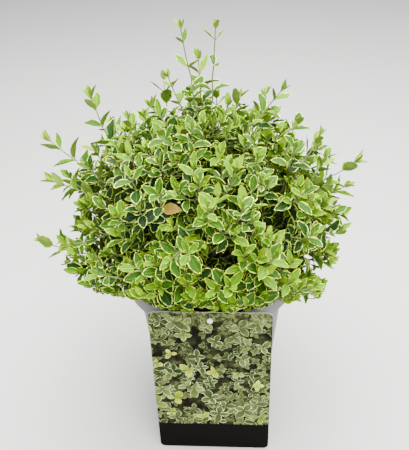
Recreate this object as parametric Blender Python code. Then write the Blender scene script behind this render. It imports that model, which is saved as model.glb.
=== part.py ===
"""Potted wintercreeper euonymus: a square nursery pot with its tag, and a mounded shrub.

Metres, +Z up. The origin is the centre of the pot's flat underside, and the tag faces -Y.
The shrub has one short stem. Boughs part from it, and each carries one mass of foliage.
"""
import math
import random

import bmesh
import bpy
from mathutils import Matrix, Vector
from mathutils.bvhtree import BVHTree

# Gap kept between touching solids, and how far a cutter runs past what it cuts
GAP = 0.0003
PAST = 0.002

# Pot: a rounded square that narrows towards its foot
POT_HEIGHT = 0.174
POT_LIP_HALF = 0.0740
POT_BODY_HALF = 0.0662
POT_FOOT_HALF = 0.0523
POT_LIP_HEIGHT = 0.012
POT_WALL = 0.0018
POT_FLOOR = 0.0025
POT_CORNER_SHARE = 0.76
POT_CORNER_STEPS = 7
POT_LIP_STEP = 0.0030
POT_LIP_RISE = 0.0014
POT_LIP_ROUND = 0.0004
DRAIN_HOLE_RADIUS = 0.0045
DRAIN_HOLE_OUT = 0.034

# Compost inside the pot
COMPOST_TOP = 0.161
COMPOST_CROWN = 0.004
COMPOST_MIDDLE = 0.095
COMPOST_EDGE = 0.0010
COMPOST_SHOULDER = 0.010
COMPOST_CROWN_HALF = 0.030

# Tag: a flat plastic card that stands in front of the pot
TAG_X = 0.0025
TAG_WIDTH = 0.1055
TAG_BOTTOM = 0.0016
TAG_TOP = 0.1765
TAG_CORNER = 0.0050
TAG_THICKNESS = 0.0008
TAG_FRONT_Y = -0.0756
TAG_HOLE_RADIUS = 0.0018
TAG_HOLE_DROP = 0.0085
TAG_SLIT_WIDTH = 0.0010
TAG_ROOM = 0.0025

# Tag peg: a pin through the tag and the pot's lip, with a head in front and a collar behind
PEG_HOLE_RADIUS = 0.0018
PEG_PIN_RADIUS = 0.0014
PEG_HEAD_RADIUS = 0.0024
PEG_HEAD_THICKNESS = 0.0012
PEG_COLLAR_RADIUS = 0.0024
PEG_COLLAR_Y = -0.0718
PEG_END_Y = -0.0704

# Short stem that the boughs part from
STEM_FOOT = 0.142
STEM_TOP = 0.188
STEM_RADIUS = 0.0078
STEM_TOP_RADIUS = 0.0060
STEM_STATIONS = ((0.0, STEM_RADIUS), (0.45, 0.92 * STEM_RADIUS),
                 (0.9, STEM_TOP_RADIUS), (1.0, 0.6 * STEM_TOP_RADIUS))

# Crown: an egg-shaped mound, cut below by a skirt that rises outwards, most in front
CROWN_CENTRE = Vector((-0.0005, -0.0030, 0.198))
CROWN_HALF_LEFT = 0.132
CROWN_HALF_RIGHT = 0.118
CROWN_HALF_Y = 0.116
CROWN_HALF_UP = 0.126
CROWN_HALF_DOWN = 0.050
CROWN_POWER = 2.4
SKIRT_START = 0.071
SKIRT_LEVEL = 0.1770
SKIRT_SLOPE = 0.20
FRONT_SKIRT_SLOPE = 0.54
SKIRT_ROOM = 0.008

# Masses of foliage: one on top, an upper ring and a lower ring
TOP_TILT = 88.0
UPPER_MASSES = 5
UPPER_TILT = 43.0
UPPER_TURN = -90.0
LOWER_MASSES = 7
LOWER_TILT = -6.0
LOWER_FRONT_LIFT = 14.0
LOWER_TURN = -12.0
MASS_ENTRY = 0.050
MASS_SEED_OUT = 0.085
MASS_STEM_END = 0.088
CELL_MARGIN = 0.0007

# Limbs
BOUGH_RADIUS = 0.0024
BOUGH_TIP_RADIUS = 0.0019
BOUGH_UPPER_DROP = 0.0055
BOUGH_LOWER_DROP = 0.0150
BOUGH_OUT = 0.8
BOUGH_UP = 0.6
BOUGH_LEAVING = 0.22
BOUGH_ARRIVING = 0.30
BOUGH_POINTS = 6
BOUGH_SIDES = 5
STEM_SIDES = 10
LIMB_CLEARANCE = 0.0012
MASS_STEM_RADIUS = 0.0019
MASS_STEM_POINTS = 4
MASS_STEM_BARE = 0.006
MASS_STEM_TOP = 0.003
TWIG_RADIUS = 0.0013
TWIG_TIP_RADIUS = 0.0007
TWIG_SIDES = 3

# Times that a mass is fused again, each time with other leaves left out
FUSE_TRIES = 8

# Shoots that fill the mound, and their leaves
SHOOTS = 110
SHOOT_LOWEST = -0.38
SHOOT_REACH = (0.84, 0.985)
SHOOT_SHORT = 0.006
SHOOT_LENGTHS = (1.0, 0.9, 0.8, 0.68, 0.55)
SHOOT_SPLAY = 0.9
SHOOT_LEAD = 0.012
SHOOT_TURN = 0.12
SHOOT_BEND = 0.55
SHOOT_RISE = 0.08
LEADER_RISE = 0.10
SHOOT_POINTS = 3
LEADER_POINTS = 5
PAIR_SPACING = 0.0190
MOUND_PAIRS = 2
LEAF_LENGTH = 0.0275
LEAF_WIDTH = 0.0192
LEAF_THICKNESS = 0.0014
LEAF_WIDEST = 0.52
LEAF_DROOP = 0.0014
LEAF_SINK = 0.0002
LEAF_FACING_OUT = 0.75
LEAF_FACING_UP = 0.80
LEAF_LIFT = 0.12
LEAF_SIZES = (0.90, 1.08)
LEAF_LEAN = (50.0, 70.0)
FIRST_PAIR_BACK = 0.0012
LEAFY_SHARE = 0.90
TUFT_LEAN = 34.0
TUFT_SIZE = 0.82
LEAF_TRIES = ((0.0, 0.0), (0.4, 0.0), (-0.4, 0.0), (0.0, -18.0), (0.8, 0.0), (-0.8, 0.0),
              (0.4, -25.0), (-0.4, -25.0), (0.0, 18.0), (1.2, -10.0), (-1.2, -10.0))
SEED = 41

# Leading shoots that stand out of the mound: x, y and z of the furthest leaf tip, and the
# pairs of leaves on each. The shoot itself ends short of there by LEADER_SHORT
LEADER_SHORT = 0.015
LEADER_SPACING = 0.0215
LEADERS = (
    (-0.018, 0.001, 0.402, 4),
    (0.009, -0.001, 0.402, 4),
    (-0.031, 0.007, 0.356, 2),
    (-0.007, 0.025, 0.366, 2),
    (0.018, -0.001, 0.336, 1),
    (-0.046, 0.001, 0.334, 1),
    (-0.068, 0.003, 0.323, 1),
    (-0.096, -0.001, 0.345, 3),
    (-0.136, -0.005, 0.306, 3),
    (-0.137, -0.017, 0.272, 3),
    (-0.159, -0.009, 0.214, 3),
    (0.062, -0.001, 0.348, 3),
    (0.074, 0.001, 0.313, 1),
    (0.096, -0.001, 0.308, 2),
    (0.122, -0.003, 0.287, 3),
    (0.123, -0.013, 0.257, 2),
    (0.113, -0.017, 0.200, 2),
    (0.097, -0.079, 0.206, 1),
    (0.054, 0.111, 0.300, 3),
    (-0.048, 0.105, 0.318, 3),
    (-0.001, 0.135, 0.240, 3),
    (0.107, 0.085, 0.250, 2),
    (-0.108, 0.083, 0.258, 2),
    (0.056, -0.113, 0.262, 2),
    (-0.056, -0.115, 0.256, 2),
)

# Colours: red, green, blue
POT_GREY = (0.30, 0.30, 0.32)
COMPOST_BROWN = (0.035, 0.024, 0.017)
TAG_GREEN = (0.11, 0.15, 0.06)
PEG_WHITE = (0.80, 0.79, 0.74)
BARK_GREEN = (0.13, 0.15, 0.06)
LEAF_GREEN = (0.14, 0.24, 0.05)


def clear_scene():
    """Remove what a new file starts with."""
    for item in list(bpy.data.objects):
        bpy.data.objects.remove(item, do_unlink=True)


def make_collection(name):
    """A collection linked to the scene."""
    collection = bpy.data.collections.new(name)
    bpy.context.scene.collection.children.link(collection)
    return collection


def make_material(name, colour, roughness):
    """A plain Principled material."""
    material = bpy.data.materials.new(name)
    material.use_nodes = True
    shader = material.node_tree.nodes["Principled BSDF"]
    shader.inputs["Base Color"].default_value = (*colour, 1.0)
    shader.inputs["Roughness"].default_value = roughness
    shader.inputs["Metallic"].default_value = 0.0
    return material


def object_from_bmesh(name, shape, collection, material=None):
    """Turn a bmesh into an object and free it."""
    bmesh.ops.recalc_face_normals(shape, faces=shape.faces)
    mesh = bpy.data.meshes.new(name)
    shape.to_mesh(mesh)
    shape.free()
    item = bpy.data.objects.new(name, mesh)
    collection.objects.link(item)
    if material:
        mesh.materials.append(material)
    return item


def smooth(item, degrees=40.0):
    """Shade round faces smooth, and keep real edges sharp."""
    item.data.shade_smooth()
    item.data.set_sharp_from_angle(angle=math.radians(degrees))


def boolean(item, cutter, operation, solver="EXACT"):
    """Give an item a live Boolean with one other object."""
    cutter.hide_render = True
    cutter.display_type = "WIRE"
    modifier = item.modifiers.new(f"{operation.lower()} {cutter.name}", "BOOLEAN")
    modifier.operation = operation
    modifier.object = cutter
    modifier.solver = solver


def apply_modifiers(item):
    """Replace an item's mesh by what its modifiers make of it."""
    graph = bpy.context.evaluated_depsgraph_get()
    mesh = bpy.data.meshes.new_from_object(item.evaluated_get(graph))
    old = item.data
    item.modifiers.clear()
    item.data = mesh
    bpy.data.meshes.remove(old)


def rounded_square(half, corner):
    """Points of a square with round corners, anticlockwise."""
    points = []
    for quarter in range(4):
        turn = math.radians(90.0 * quarter)
        centre = Matrix.Rotation(turn, 3, "Z") @ Vector((half - corner, half - corner, 0.0))
        for step in range(POT_CORNER_STEPS + 1):
            angle = turn + math.radians(90.0) * step / POT_CORNER_STEPS
            points.append(centre + corner * Vector((math.cos(angle), math.sin(angle), 0.0)))
    return points


def loft(name, stations, collection, material):
    """Close a solid through rounded squares, each given as half its width and its height."""
    shape = bmesh.new()
    rings = []
    for half, level in stations:
        outline = rounded_square(half, half * POT_CORNER_SHARE)
        rings.append([shape.verts.new((p.x, p.y, level)) for p in outline])
    count = len(rings[0])
    for low, high in zip(rings, rings[1:]):
        for i in range(count):
            j = (i + 1) % count
            shape.faces.new((low[i], low[j], high[j], high[i]))
    shape.faces.new(list(reversed(rings[0])))
    shape.faces.new(rings[-1])
    return object_from_bmesh(name, shape, collection, material)


def pot_half(level):
    """Half the pot body's outer width at a height."""
    share = level / (POT_HEIGHT - POT_LIP_HEIGHT)
    return POT_FOOT_HALF + (POT_BODY_HALF - POT_FOOT_HALF) * min(share, 1.0)


def make_cylinder(name, radius, low, high, place, collection, axis="Z", sides=16):
    """A closed cylinder from low to high along one axis."""
    shape = bmesh.new()
    bmesh.ops.create_cone(shape, cap_ends=True, segments=sides, radius1=radius,
                          radius2=radius, depth=high - low)
    bmesh.ops.translate(shape, verts=shape.verts, vec=(0.0, 0.0, (low + high) / 2))
    if axis == "Y":
        bmesh.ops.rotate(shape, verts=shape.verts, cent=(0, 0, 0),
                         matrix=Matrix.Rotation(math.radians(-90.0), 3, "X"))
    bmesh.ops.translate(shape, verts=shape.verts, vec=place)
    return object_from_bmesh(name, shape, collection)


def make_box(name, low, high, collection):
    """A closed box between two corners."""
    shape = bmesh.new()
    bmesh.ops.create_cube(shape, size=1.0)
    size = Vector(high) - Vector(low)
    bmesh.ops.scale(shape, verts=shape.verts, vec=size)
    bmesh.ops.translate(shape, verts=shape.verts, vec=(Vector(high) + Vector(low)) / 2)
    return object_from_bmesh(name, shape, collection)


def make_pot(parts, cutters):
    """The pot's wall, lip and floor as one turned-over loft, with its drain and peg holes."""
    lip_level = POT_HEIGHT - POT_LIP_HEIGHT
    stations = (
        (POT_FOOT_HALF, 0.0),
        (POT_BODY_HALF, lip_level - POT_LIP_STEP),
        (POT_LIP_HALF, lip_level),
        (POT_LIP_HALF, POT_HEIGHT - 2 * POT_LIP_ROUND),
        (POT_LIP_HALF - POT_LIP_ROUND, POT_HEIGHT),
        (POT_LIP_HALF - POT_WALL, POT_HEIGHT),
        (POT_LIP_HALF - POT_WALL, lip_level + POT_LIP_RISE),
        (POT_BODY_HALF - POT_WALL, lip_level - POT_LIP_STEP + POT_LIP_RISE),
        (POT_FOOT_HALF - POT_WALL, POT_FLOOR),
    )
    pot = loft("pot", stations, parts, make_material("pot plastic", POT_GREY, 0.45))
    for quarter in range(4):
        angle = math.radians(45.0 + 90.0 * quarter)
        place = (DRAIN_HOLE_OUT * math.cos(angle), DRAIN_HOLE_OUT * math.sin(angle), 0.0)
        hole = make_cylinder(f"drain cutter {quarter + 1}", DRAIN_HOLE_RADIUS, -PAST,
                             POT_FLOOR + PAST, place, cutters)
        boolean(pot, hole, "DIFFERENCE")
    hole = make_cylinder("peg cutter", PEG_HOLE_RADIUS, -POT_LIP_HALF - PAST, PEG_END_Y,
                         (TAG_X, 0, TAG_TOP - TAG_HOLE_DROP), cutters, axis="Y", sides=20)
    boolean(pot, hole, "DIFFERENCE")
    smooth(pot)
    return pot


def make_compost(parts, cutters):
    """The compost, with a pocket for the stem's foot."""
    def inside(level):
        return pot_half(level) - POT_WALL - 2 * GAP
    stations = (
        (inside(POT_FLOOR) - COMPOST_EDGE, POT_FLOOR + GAP),
        (inside(COMPOST_MIDDLE) - COMPOST_EDGE / 2, COMPOST_MIDDLE),
        (inside(COMPOST_TOP) - COMPOST_EDGE, COMPOST_TOP - COMPOST_EDGE),
        (inside(COMPOST_TOP) - COMPOST_SHOULDER, COMPOST_TOP + 0.4 * COMPOST_CROWN),
        (COMPOST_CROWN_HALF, COMPOST_TOP + COMPOST_CROWN),
    )
    compost = loft("compost", stations, parts, make_material("compost", COMPOST_BROWN, 0.95))
    pocket = make_cylinder("stem pocket", STEM_RADIUS + GAP, STEM_FOOT - GAP,
                           POT_HEIGHT, (0, 0, 0), cutters, sides=20)
    boolean(compost, pocket, "DIFFERENCE")
    smooth(compost)
    return compost


def make_tag(parts, cutters):
    """The tag: a card with round corners, a hole, and a slit up to its top edge."""
    shape = bmesh.new()
    bmesh.ops.create_cube(shape, size=1.0)
    height = TAG_TOP - TAG_BOTTOM
    bmesh.ops.scale(shape, verts=shape.verts, vec=(TAG_WIDTH, TAG_THICKNESS, height))
    bmesh.ops.translate(shape, verts=shape.verts,
                        vec=(TAG_X, TAG_FRONT_Y + TAG_THICKNESS / 2, TAG_BOTTOM + height / 2))
    upright = [e for e in shape.edges if abs(e.verts[0].co.y - e.verts[1].co.y) > TAG_THICKNESS / 2]
    bmesh.ops.bevel(shape, geom=upright, offset=TAG_CORNER, segments=4, affect="EDGES",
                    profile=0.5, offset_type="OFFSET")
    tag = object_from_bmesh("tag", shape, parts, make_material("tag print", TAG_GREEN, 0.35))
    hole_level = TAG_TOP - TAG_HOLE_DROP
    hole = make_cylinder("tag hole cutter", TAG_HOLE_RADIUS, TAG_FRONT_Y - PAST,
                         TAG_FRONT_Y + PAST, (TAG_X, 0, hole_level), cutters, axis="Y", sides=20)
    half = TAG_SLIT_WIDTH / 2
    slit = make_box("tag slit cutter", (TAG_X - half, TAG_FRONT_Y - PAST, hole_level),
                    (TAG_X + half, TAG_FRONT_Y + PAST, TAG_TOP + PAST), cutters)
    boolean(tag, hole, "DIFFERENCE")
    boolean(tag, slit, "DIFFERENCE")
    return tag


def make_tag_peg(parts, cutters):
    """The peg that holds the tag to the lip: a head, a pin and a collar on one axis."""
    place = (TAG_X, 0, TAG_TOP - TAG_HOLE_DROP)
    back = TAG_FRONT_Y - GAP
    front = back - PEG_HEAD_THICKNESS
    peg = make_cylinder("tag_peg", PEG_PIN_RADIUS, (front + back) / 2, PEG_END_Y, place, parts,
                        axis="Y", sides=16)
    peg.data.materials.append(make_material("peg plastic", PEG_WHITE, 0.4))
    head = make_cylinder("peg head", PEG_HEAD_RADIUS, front, back, place, cutters, axis="Y", sides=24)
    collar = make_cylinder("peg collar", PEG_COLLAR_RADIUS, PEG_COLLAR_Y, (PEG_COLLAR_Y + PEG_END_Y) / 2,
                           place, cutters, axis="Y", sides=24)
    boolean(peg, head, "UNION")
    boolean(peg, collar, "UNION")
    smooth(peg)
    return peg


def direction(tilt, turn):
    """A unit vector from its tilt above level and its turn about +Z, in degrees."""
    up = math.radians(tilt)
    around = math.radians(turn)
    return Vector((math.cos(up) * math.cos(around), math.cos(up) * math.sin(around), math.sin(up)))


def crown_reach(way):
    """How far the mound reaches from its centre along a unit vector."""
    halves = (CROWN_HALF_RIGHT if way.x > 0 else CROWN_HALF_LEFT, CROWN_HALF_Y,
              CROWN_HALF_UP if way.z > 0 else CROWN_HALF_DOWN)
    total = sum(abs(part / half) ** CROWN_POWER for part, half in zip(way, halves))
    return total ** (-1.0 / CROWN_POWER)


def mass_directions():
    """The way that each mass's stem runs, by the mass's name."""
    ways = {"foliage_top": direction(TOP_TILT, 90.0)}
    for i in range(UPPER_MASSES):
        ways[f"foliage_upper_{i + 1}"] = direction(UPPER_TILT, UPPER_TURN + 360.0 * i / UPPER_MASSES)
    for i in range(LOWER_MASSES):
        turn = LOWER_TURN + 360.0 * i / LOWER_MASSES
        lift = LOWER_FRONT_LIFT * max(0.0, -math.sin(math.radians(turn)))
        ways[f"foliage_lower_{i + 1}"] = direction(LOWER_TILT + lift, turn)
    return ways


def skirt_level(point):
    """The height that foliage keeps above at a place, higher further out and in front."""
    out = math.hypot(point.x, point.y)
    front = max(0.0, -point.y / out) ** 2
    slope = SKIRT_SLOPE + FRONT_SKIRT_SLOPE * front
    return SKIRT_LEVEL + slope * max(0.0, out - SKIRT_START)


def even_directions(count, lowest, chance):
    """Directions spread evenly over the mound by the golden angle, a little uneven."""
    golden = math.pi * (3.0 - math.sqrt(5.0))
    ways = []
    for i in range(count):
        rise = 1.0 - (1.0 - lowest) * (i + 0.5) / count
        turn = golden * i + chance.uniform(-SHOOT_TURN, SHOOT_TURN)
        flat = math.sqrt(max(0.0, 1.0 - rise * rise))
        ways.append(Vector((flat * math.cos(turn), flat * math.sin(turn), rise)))
    return ways


def bezier_point(start, leaving, arriving, end, t):
    """A point on a cubic curve with two handles."""
    rest = 1.0 - t
    return (start * rest ** 3 + leaving * 3 * t * rest ** 2
            + arriving * 3 * t ** 2 * rest + end * t ** 3)


def bezier_points(start, middle, end, count):
    """Points along a quadratic curve."""
    points = []
    for i in range(count):
        t = i / (count - 1)
        points.append(start * (1 - t) ** 2 + middle * 2 * t * (1 - t) + end * t * t)
    return points


def curve_points(start, end, rise, count):
    """Points of a shoot that leaves outwards and then turns up."""
    middle = start.lerp(end, SHOOT_BEND)
    middle.z -= rise * (end - start).length
    return bezier_points(start, middle, end, count)


def tapering_limb(points, radii, sides, start_way=None, end_way=None):
    """A closed limb: one polygon carried along the points, narrowing as it goes."""
    shape = bmesh.new()
    rings = []
    side_way = None
    for i, point in enumerate(points):
        ahead = points[min(i + 1, len(points) - 1)]
        behind = points[max(i - 1, 0)]
        along = (ahead - behind).normalized()
        if start_way and i == 0:
            along = start_way
        if end_way and i == len(points) - 1:
            along = end_way
        if side_way is None:
            side_way = along.orthogonal().normalized()
        side_way = (side_way - along * side_way.dot(along)).normalized()
        cross = along.cross(side_way)
        ring = []
        for k in range(sides):
            angle = 2 * math.pi * k / sides
            offset = side_way * math.cos(angle) + cross * math.sin(angle)
            ring.append(shape.verts.new(point + offset * radii[i]))
        rings.append(ring)
    for low, high in zip(rings, rings[1:]):
        for k in range(sides):
            n = (k + 1) % sides
            shape.faces.new((low[k], low[n], high[n], high[k]))
    shape.faces.new(list(reversed(rings[0])))
    shape.faces.new(rings[-1])
    return shape


def leaf_corners(base, way, up, length):
    """Five corners of a leaf: its base, one side, tip, other side, and the top of its back."""
    side = up.cross(way).normalized()
    face = way.cross(side).normalized()
    width = length * LEAF_WIDTH / LEAF_LENGTH
    middle = base + way * length * LEAF_WIDEST
    return (
        base - way * LEAF_SINK,
        middle + side * width / 2,
        base + way * length - face * LEAF_DROOP,
        middle - side * width / 2,
        middle + face * LEAF_THICKNESS,
    )


def leaf_shape(corners):
    """A closed leaf: four faces that slope from its back, and two beneath."""
    shape = bmesh.new()
    base, left, tip, right, back = [shape.verts.new(corner) for corner in corners]
    for first, second in ((base, right), (right, tip), (tip, left), (left, base)):
        shape.faces.new((first, second, back))
    shape.faces.new((right, base, left))
    shape.faces.new((tip, right, left))
    return shape


def distance_to_segment(point, start, end):
    """Distance from a point to a straight segment."""
    along = end - start
    share = max(0.0, min(1.0, (point - start).dot(along) / along.length_squared))
    return (point - start - along * share).length


class Crown:
    """The spaces of the masses, the limbs, and the tests that keep foliage clear of them."""

    def __init__(self):
        self.ways = mass_directions()
        self.seeds = {name: CROWN_CENTRE + way * MASS_SEED_OUT for name, way in self.ways.items()}
        self.boughs = {}
        for name, way in self.ways.items():
            self.boughs[name] = self.bough_points(way)

    def entry(self, way):
        """Where a bough's tip meets its mass."""
        return CROWN_CENTRE + way * MASS_ENTRY

    def bough_points(self, way):
        """A bough's curved centre line, from beside the stem to its tip."""
        tip = self.entry(way)
        flat = self.bough_start_way(way)
        if self.is_top(way):
            start = Vector((0.0, 0.0, STEM_TOP + GAP))
        else:
            upper = way.z > math.sin(math.radians(UPPER_TILT / 2))
            level = STEM_TOP - (BOUGH_UPPER_DROP if upper else BOUGH_LOWER_DROP)
            share = (level - STEM_FOOT) / (STEM_TOP - STEM_FOOT)
            radius = STEM_RADIUS + (STEM_TOP_RADIUS - STEM_RADIUS) * share
            start = flat * (radius + GAP) + Vector((0.0, 0.0, level))
        length = (tip - start).length
        leaving_way = flat * BOUGH_OUT + Vector((0.0, 0.0, BOUGH_UP))
        leaving = start + leaving_way * BOUGH_LEAVING * length
        arriving = tip - way * BOUGH_ARRIVING * length
        points = []
        for i in range(BOUGH_POINTS):
            t = i / (BOUGH_POINTS - 1)
            points.append(bezier_point(start, leaving, arriving, tip, t))
        return points

    def is_top(self, way):
        """Is this the way of the mass on top."""
        return way.z > math.sin(math.radians((UPPER_TILT + TOP_TILT) / 2))

    def bough_start_way(self, way):
        """The way a bough's foot faces: level, out of the stem, or up for the top one."""
        if self.is_top(way):
            return Vector((0.0, 0.0, 1.0))
        return Vector((way.x, way.y, 0.0)).normalized()

    def in_cell(self, point, name):
        """Is a point nearer to this mass's seed than to any other, with some room."""
        own = self.seeds[name]
        for other_name, other in self.seeds.items():
            if other_name == name:
                continue
            plane = (other - own).normalized()
            if (point - (own + other) / 2).dot(plane) > -CELL_MARGIN:
                return False
        return True

    def clear_of_limbs(self, point, room):
        """Does a point keep clear of the stem and every bough."""
        if math.hypot(point.x, point.y) < STEM_RADIUS + room and point.z < STEM_TOP + room:
            return False
        for points in self.boughs.values():
            for start, end in zip(points, points[1:]):
                if distance_to_segment(point, start, end) < BOUGH_RADIUS + room:
                    return False
        return True

    def above_ground(self, point):
        """Does a point keep above the mound's rising skirt, the pot and the tag."""
        if point.z < skirt_level(point):
            return False
        in_front = abs(point.x - TAG_X) < TAG_WIDTH / 2 + TAG_ROOM and point.y < POT_WALL - POT_LIP_HALF
        return not in_front or point.z > TAG_TOP + TAG_ROOM

    def allowed(self, points, name, room):
        """Do all the points stay in the mass's space and clear of everything else."""
        for point in points:
            if not self.in_cell(point, name):
                return False
            if not self.above_ground(point):
                return False
            if not self.clear_of_limbs(point, room):
                return False
        return True

    def nearest_mass(self, point):
        """The mass whose space holds a point."""
        return min(self.seeds, key=lambda name: (self.seeds[name] - point).length)


def leaf_up(way, place):
    """The side of a leaf that faces the light: up, and out of the mound."""
    out = (place - CROWN_CENTRE).normalized()
    up = out * LEAF_FACING_OUT + Vector((0.0, 0.0, LEAF_FACING_UP))
    up = up - way * up.dot(way)
    if up.length < 0.1:
        up = way.orthogonal()
    return up.normalized()


def samples(corners):
    """The corners of a leaf with the middles of its edges."""
    points = list(corners)
    for i in range(4):
        points.append((corners[i] + corners[(i + 1) % 4]) / 2)
    return points


class Mass:
    """One mass of foliage, grown piece by piece inside its own space."""

    def __init__(self, crown, name, chance):
        self.crown = crown
        self.name = name
        self.chance = chance
        self.shapes = []
        self.shoots = []
        self.leaves = []
        way = crown.ways[name]
        self.start = crown.entry(way) + way * GAP
        self.end = CROWN_CENTRE + way * MASS_STEM_END
        self.way = way
        count = MASS_STEM_POINTS
        points = [self.start.lerp(self.end, i / (count - 1)) for i in range(count)]
        radii = [MASS_STEM_RADIUS + (TWIG_RADIUS - MASS_STEM_RADIUS) * i / (count - 1)
                 for i in range(count)]
        self.shapes.append(tapering_limb(points, radii, TWIG_SIDES))

    def start_for(self, tip):
        """Where on the mass's stem the shoot to a tip begins."""
        along = (tip - self.start).dot(self.way)
        aside = ((tip - self.start) - self.way * along).length
        length = (self.end - self.start).length
        place = along - SHOOT_SPLAY * aside - SHOOT_LEAD
        place = max(MASS_STEM_BARE, min(length - MASS_STEM_TOP, place))
        return self.start + self.way * place

    def grow_shoot(self, tip, pairs, spacing, rise, stations):
        """A shoot from the mass's stem to a tip, drawn back until it fits, with its leaves."""
        start = self.start_for(tip)
        for shrink in SHOOT_LENGTHS:
            end = start.lerp(tip, shrink)
            points = curve_points(start, end, rise, stations)
            fine = curve_points(start, end, rise, 12)[3:]
            if self.crown.allowed(fine, self.name, TWIG_RADIUS + LIMB_CLEARANCE):
                break
        else:
            return False
        radii = [TWIG_RADIUS + (TWIG_TIP_RADIUS - TWIG_RADIUS) * i / (stations - 1)
                 for i in range(stations)]
        self.shapes.append(tapering_limb(points, radii, TWIG_SIDES))
        self.shoots.append((start, end, rise, pairs, spacing, len(self.shapes) - 1))
        return True

    def grow_leaves(self):
        """Leaves for every shoot, once all of the mass's limbs stand."""
        limbs = [BVHTree.FromBMesh(shape) for shape in self.shapes]
        for start, end, rise, pairs, spacing, own in self.shoots:
            others = [tree for i, tree in enumerate(limbs) if i != own]
            self.leaf_shoot(start, end, rise, pairs, spacing, others)

    def leaf_shoot(self, start, end, rise, pairs, spacing, limbs):
        """Opposite leaves down a shoot, each pair turned a quarter, and a tuft at its tip."""
        line = curve_points(start, end, rise, 41)
        length = sum((b - a).length for a, b in zip(line, line[1:]))
        turn = self.chance.uniform(0.0, math.pi)
        for pair in range(pairs + 1):
            back = FIRST_PAIR_BACK + spacing * pair
            if back > length * LEAFY_SHARE:
                break
            place = line[max(1, round(40 * (1.0 - back / length)))]
            along = (end - line[30]).normalized() if pair == 0 else (line[40] - line[10]).normalized()
            lean = TUFT_LEAN if pair == 0 else self.chance.uniform(*LEAF_LEAN)
            size = LEAF_LENGTH * (TUFT_SIZE if pair == 0 else self.chance.uniform(*LEAF_SIZES))
            mates = []
            for half in range(2):
                tree = self.grow_leaf(place, along, turn + math.pi * half, lean, size, limbs)
                if tree:
                    mates.append(tree)
            self.leaves.extend(mates)
            turn += math.pi / 2

    def grow_leaf(self, place, along, turn, lean, size, limbs):
        """One leaf, turned and leaned a little until it fits, or left out."""
        side = along.orthogonal().normalized()
        for shift, tip in LEAF_TRIES:
            out = Matrix.Rotation(turn + shift, 3, along) @ side
            angle = math.radians(lean + tip)
            way = along * math.cos(angle) + out * math.sin(angle)
            way = (way + Vector((0.0, 0.0, LEAF_LIFT))).normalized()
            corners = leaf_corners(place, way, leaf_up(way, place), size)
            if not self.crown.allowed(samples(corners)[1:], self.name, LIMB_CLEARANCE):
                continue
            shape = leaf_shape(corners)
            tree = BVHTree.FromBMesh(shape)
            if any(tree.overlap(other) for other in limbs + self.leaves):
                shape.free()
                continue
            self.shapes.append(shape)
            return tree
        return None


def one_body(item):
    """Keep a mesh's largest closed shell, which fills sealed hollows and drops scraps."""
    shape = bmesh.new()
    shape.from_mesh(item.data)
    bmesh.ops.triangulate(shape, faces=shape.faces)
    shells = []
    left = set(shape.faces)
    while left:
        stack = [left.pop()]
        shell = set(stack)
        while stack:
            face = stack.pop()
            for edge in face.edges:
                for other in edge.link_faces:
                    if other in left:
                        left.discard(other)
                        shell.add(other)
                        stack.append(other)
        shells.append(shell)
    keep = max(shells, key=len)
    drop = [face for face in shape.faces if face not in keep]
    bmesh.ops.delete(shape, geom=drop, context="FACES")
    shape.to_mesh(item.data)
    open_edges = sum(1 for edge in shape.edges if not edge.is_manifold)
    shape.free()
    return open_edges


def fuse(name, shapes, solver, parts, material):
    """Join a mass's pieces by one Boolean union on their collection."""
    pieces = make_collection(f"{name} pieces")
    body = object_from_bmesh(name, shapes[0].copy(), parts, material)
    for number, shape in enumerate(shapes[1:]):
        object_from_bmesh(f"{name} piece {number + 1}", shape.copy(), pieces)
    modifier = body.modifiers.new("union", "BOOLEAN")
    modifier.operation = "UNION"
    modifier.operand_type = "COLLECTION"
    modifier.collection = pieces
    modifier.solver = solver
    apply_modifiers(body)
    for piece in list(pieces.objects):
        mesh = piece.data
        bpy.data.objects.remove(piece, do_unlink=True)
        bpy.data.meshes.remove(mesh)
    bpy.data.collections.remove(pieces)
    return body, one_body(body)


def make_mass(mass, parts, material):
    """One fused mass: the other solver, and then fewer leaves, where a fusing fails."""
    limbs = len(mass.shoots) + 1
    for drop in range(FUSE_TRIES):
        shapes = [shape for i, shape in enumerate(mass.shapes)
                  if i < limbs or drop == 0 or i % FUSE_TRIES != drop]
        for solver in ("EXACT", "MANIFOLD"):
            body, open_edges = fuse(mass.name, shapes, solver, parts, material)
            if open_edges == 0:
                return body
            mesh = body.data
            bpy.data.objects.remove(body, do_unlink=True)
            bpy.data.meshes.remove(mesh)
    raise RuntimeError(f"{mass.name} does not fuse into one closed body")


def make_stem(parts, bark):
    """The short stem, wider at its foot, with a round top."""
    rise = STEM_TOP - STEM_FOOT
    points = [Vector((0, 0, STEM_FOOT + rise * share)) for share, _ in STEM_STATIONS]
    radii = [radius for _, radius in STEM_STATIONS]
    shape = tapering_limb(points, radii, STEM_SIDES)
    stem = object_from_bmesh("stem", shape, parts, bark)
    smooth(stem)
    return stem


def make_boughs(crown, parts, bark):
    """One tapering bough for each mass, from the stem to where it enters the mass."""
    for name, points in crown.boughs.items():
        way = crown.ways[name]
        count = len(points)
        radii = [BOUGH_RADIUS + (BOUGH_TIP_RADIUS - BOUGH_RADIUS) * i / (count - 1)
                 for i in range(count)]
        shape = tapering_limb(points, radii, BOUGH_SIDES, crown.bough_start_way(way), way)
        bough = object_from_bmesh(name.replace("foliage", "bough"), shape, parts, bark)
        smooth(bough)


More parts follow.
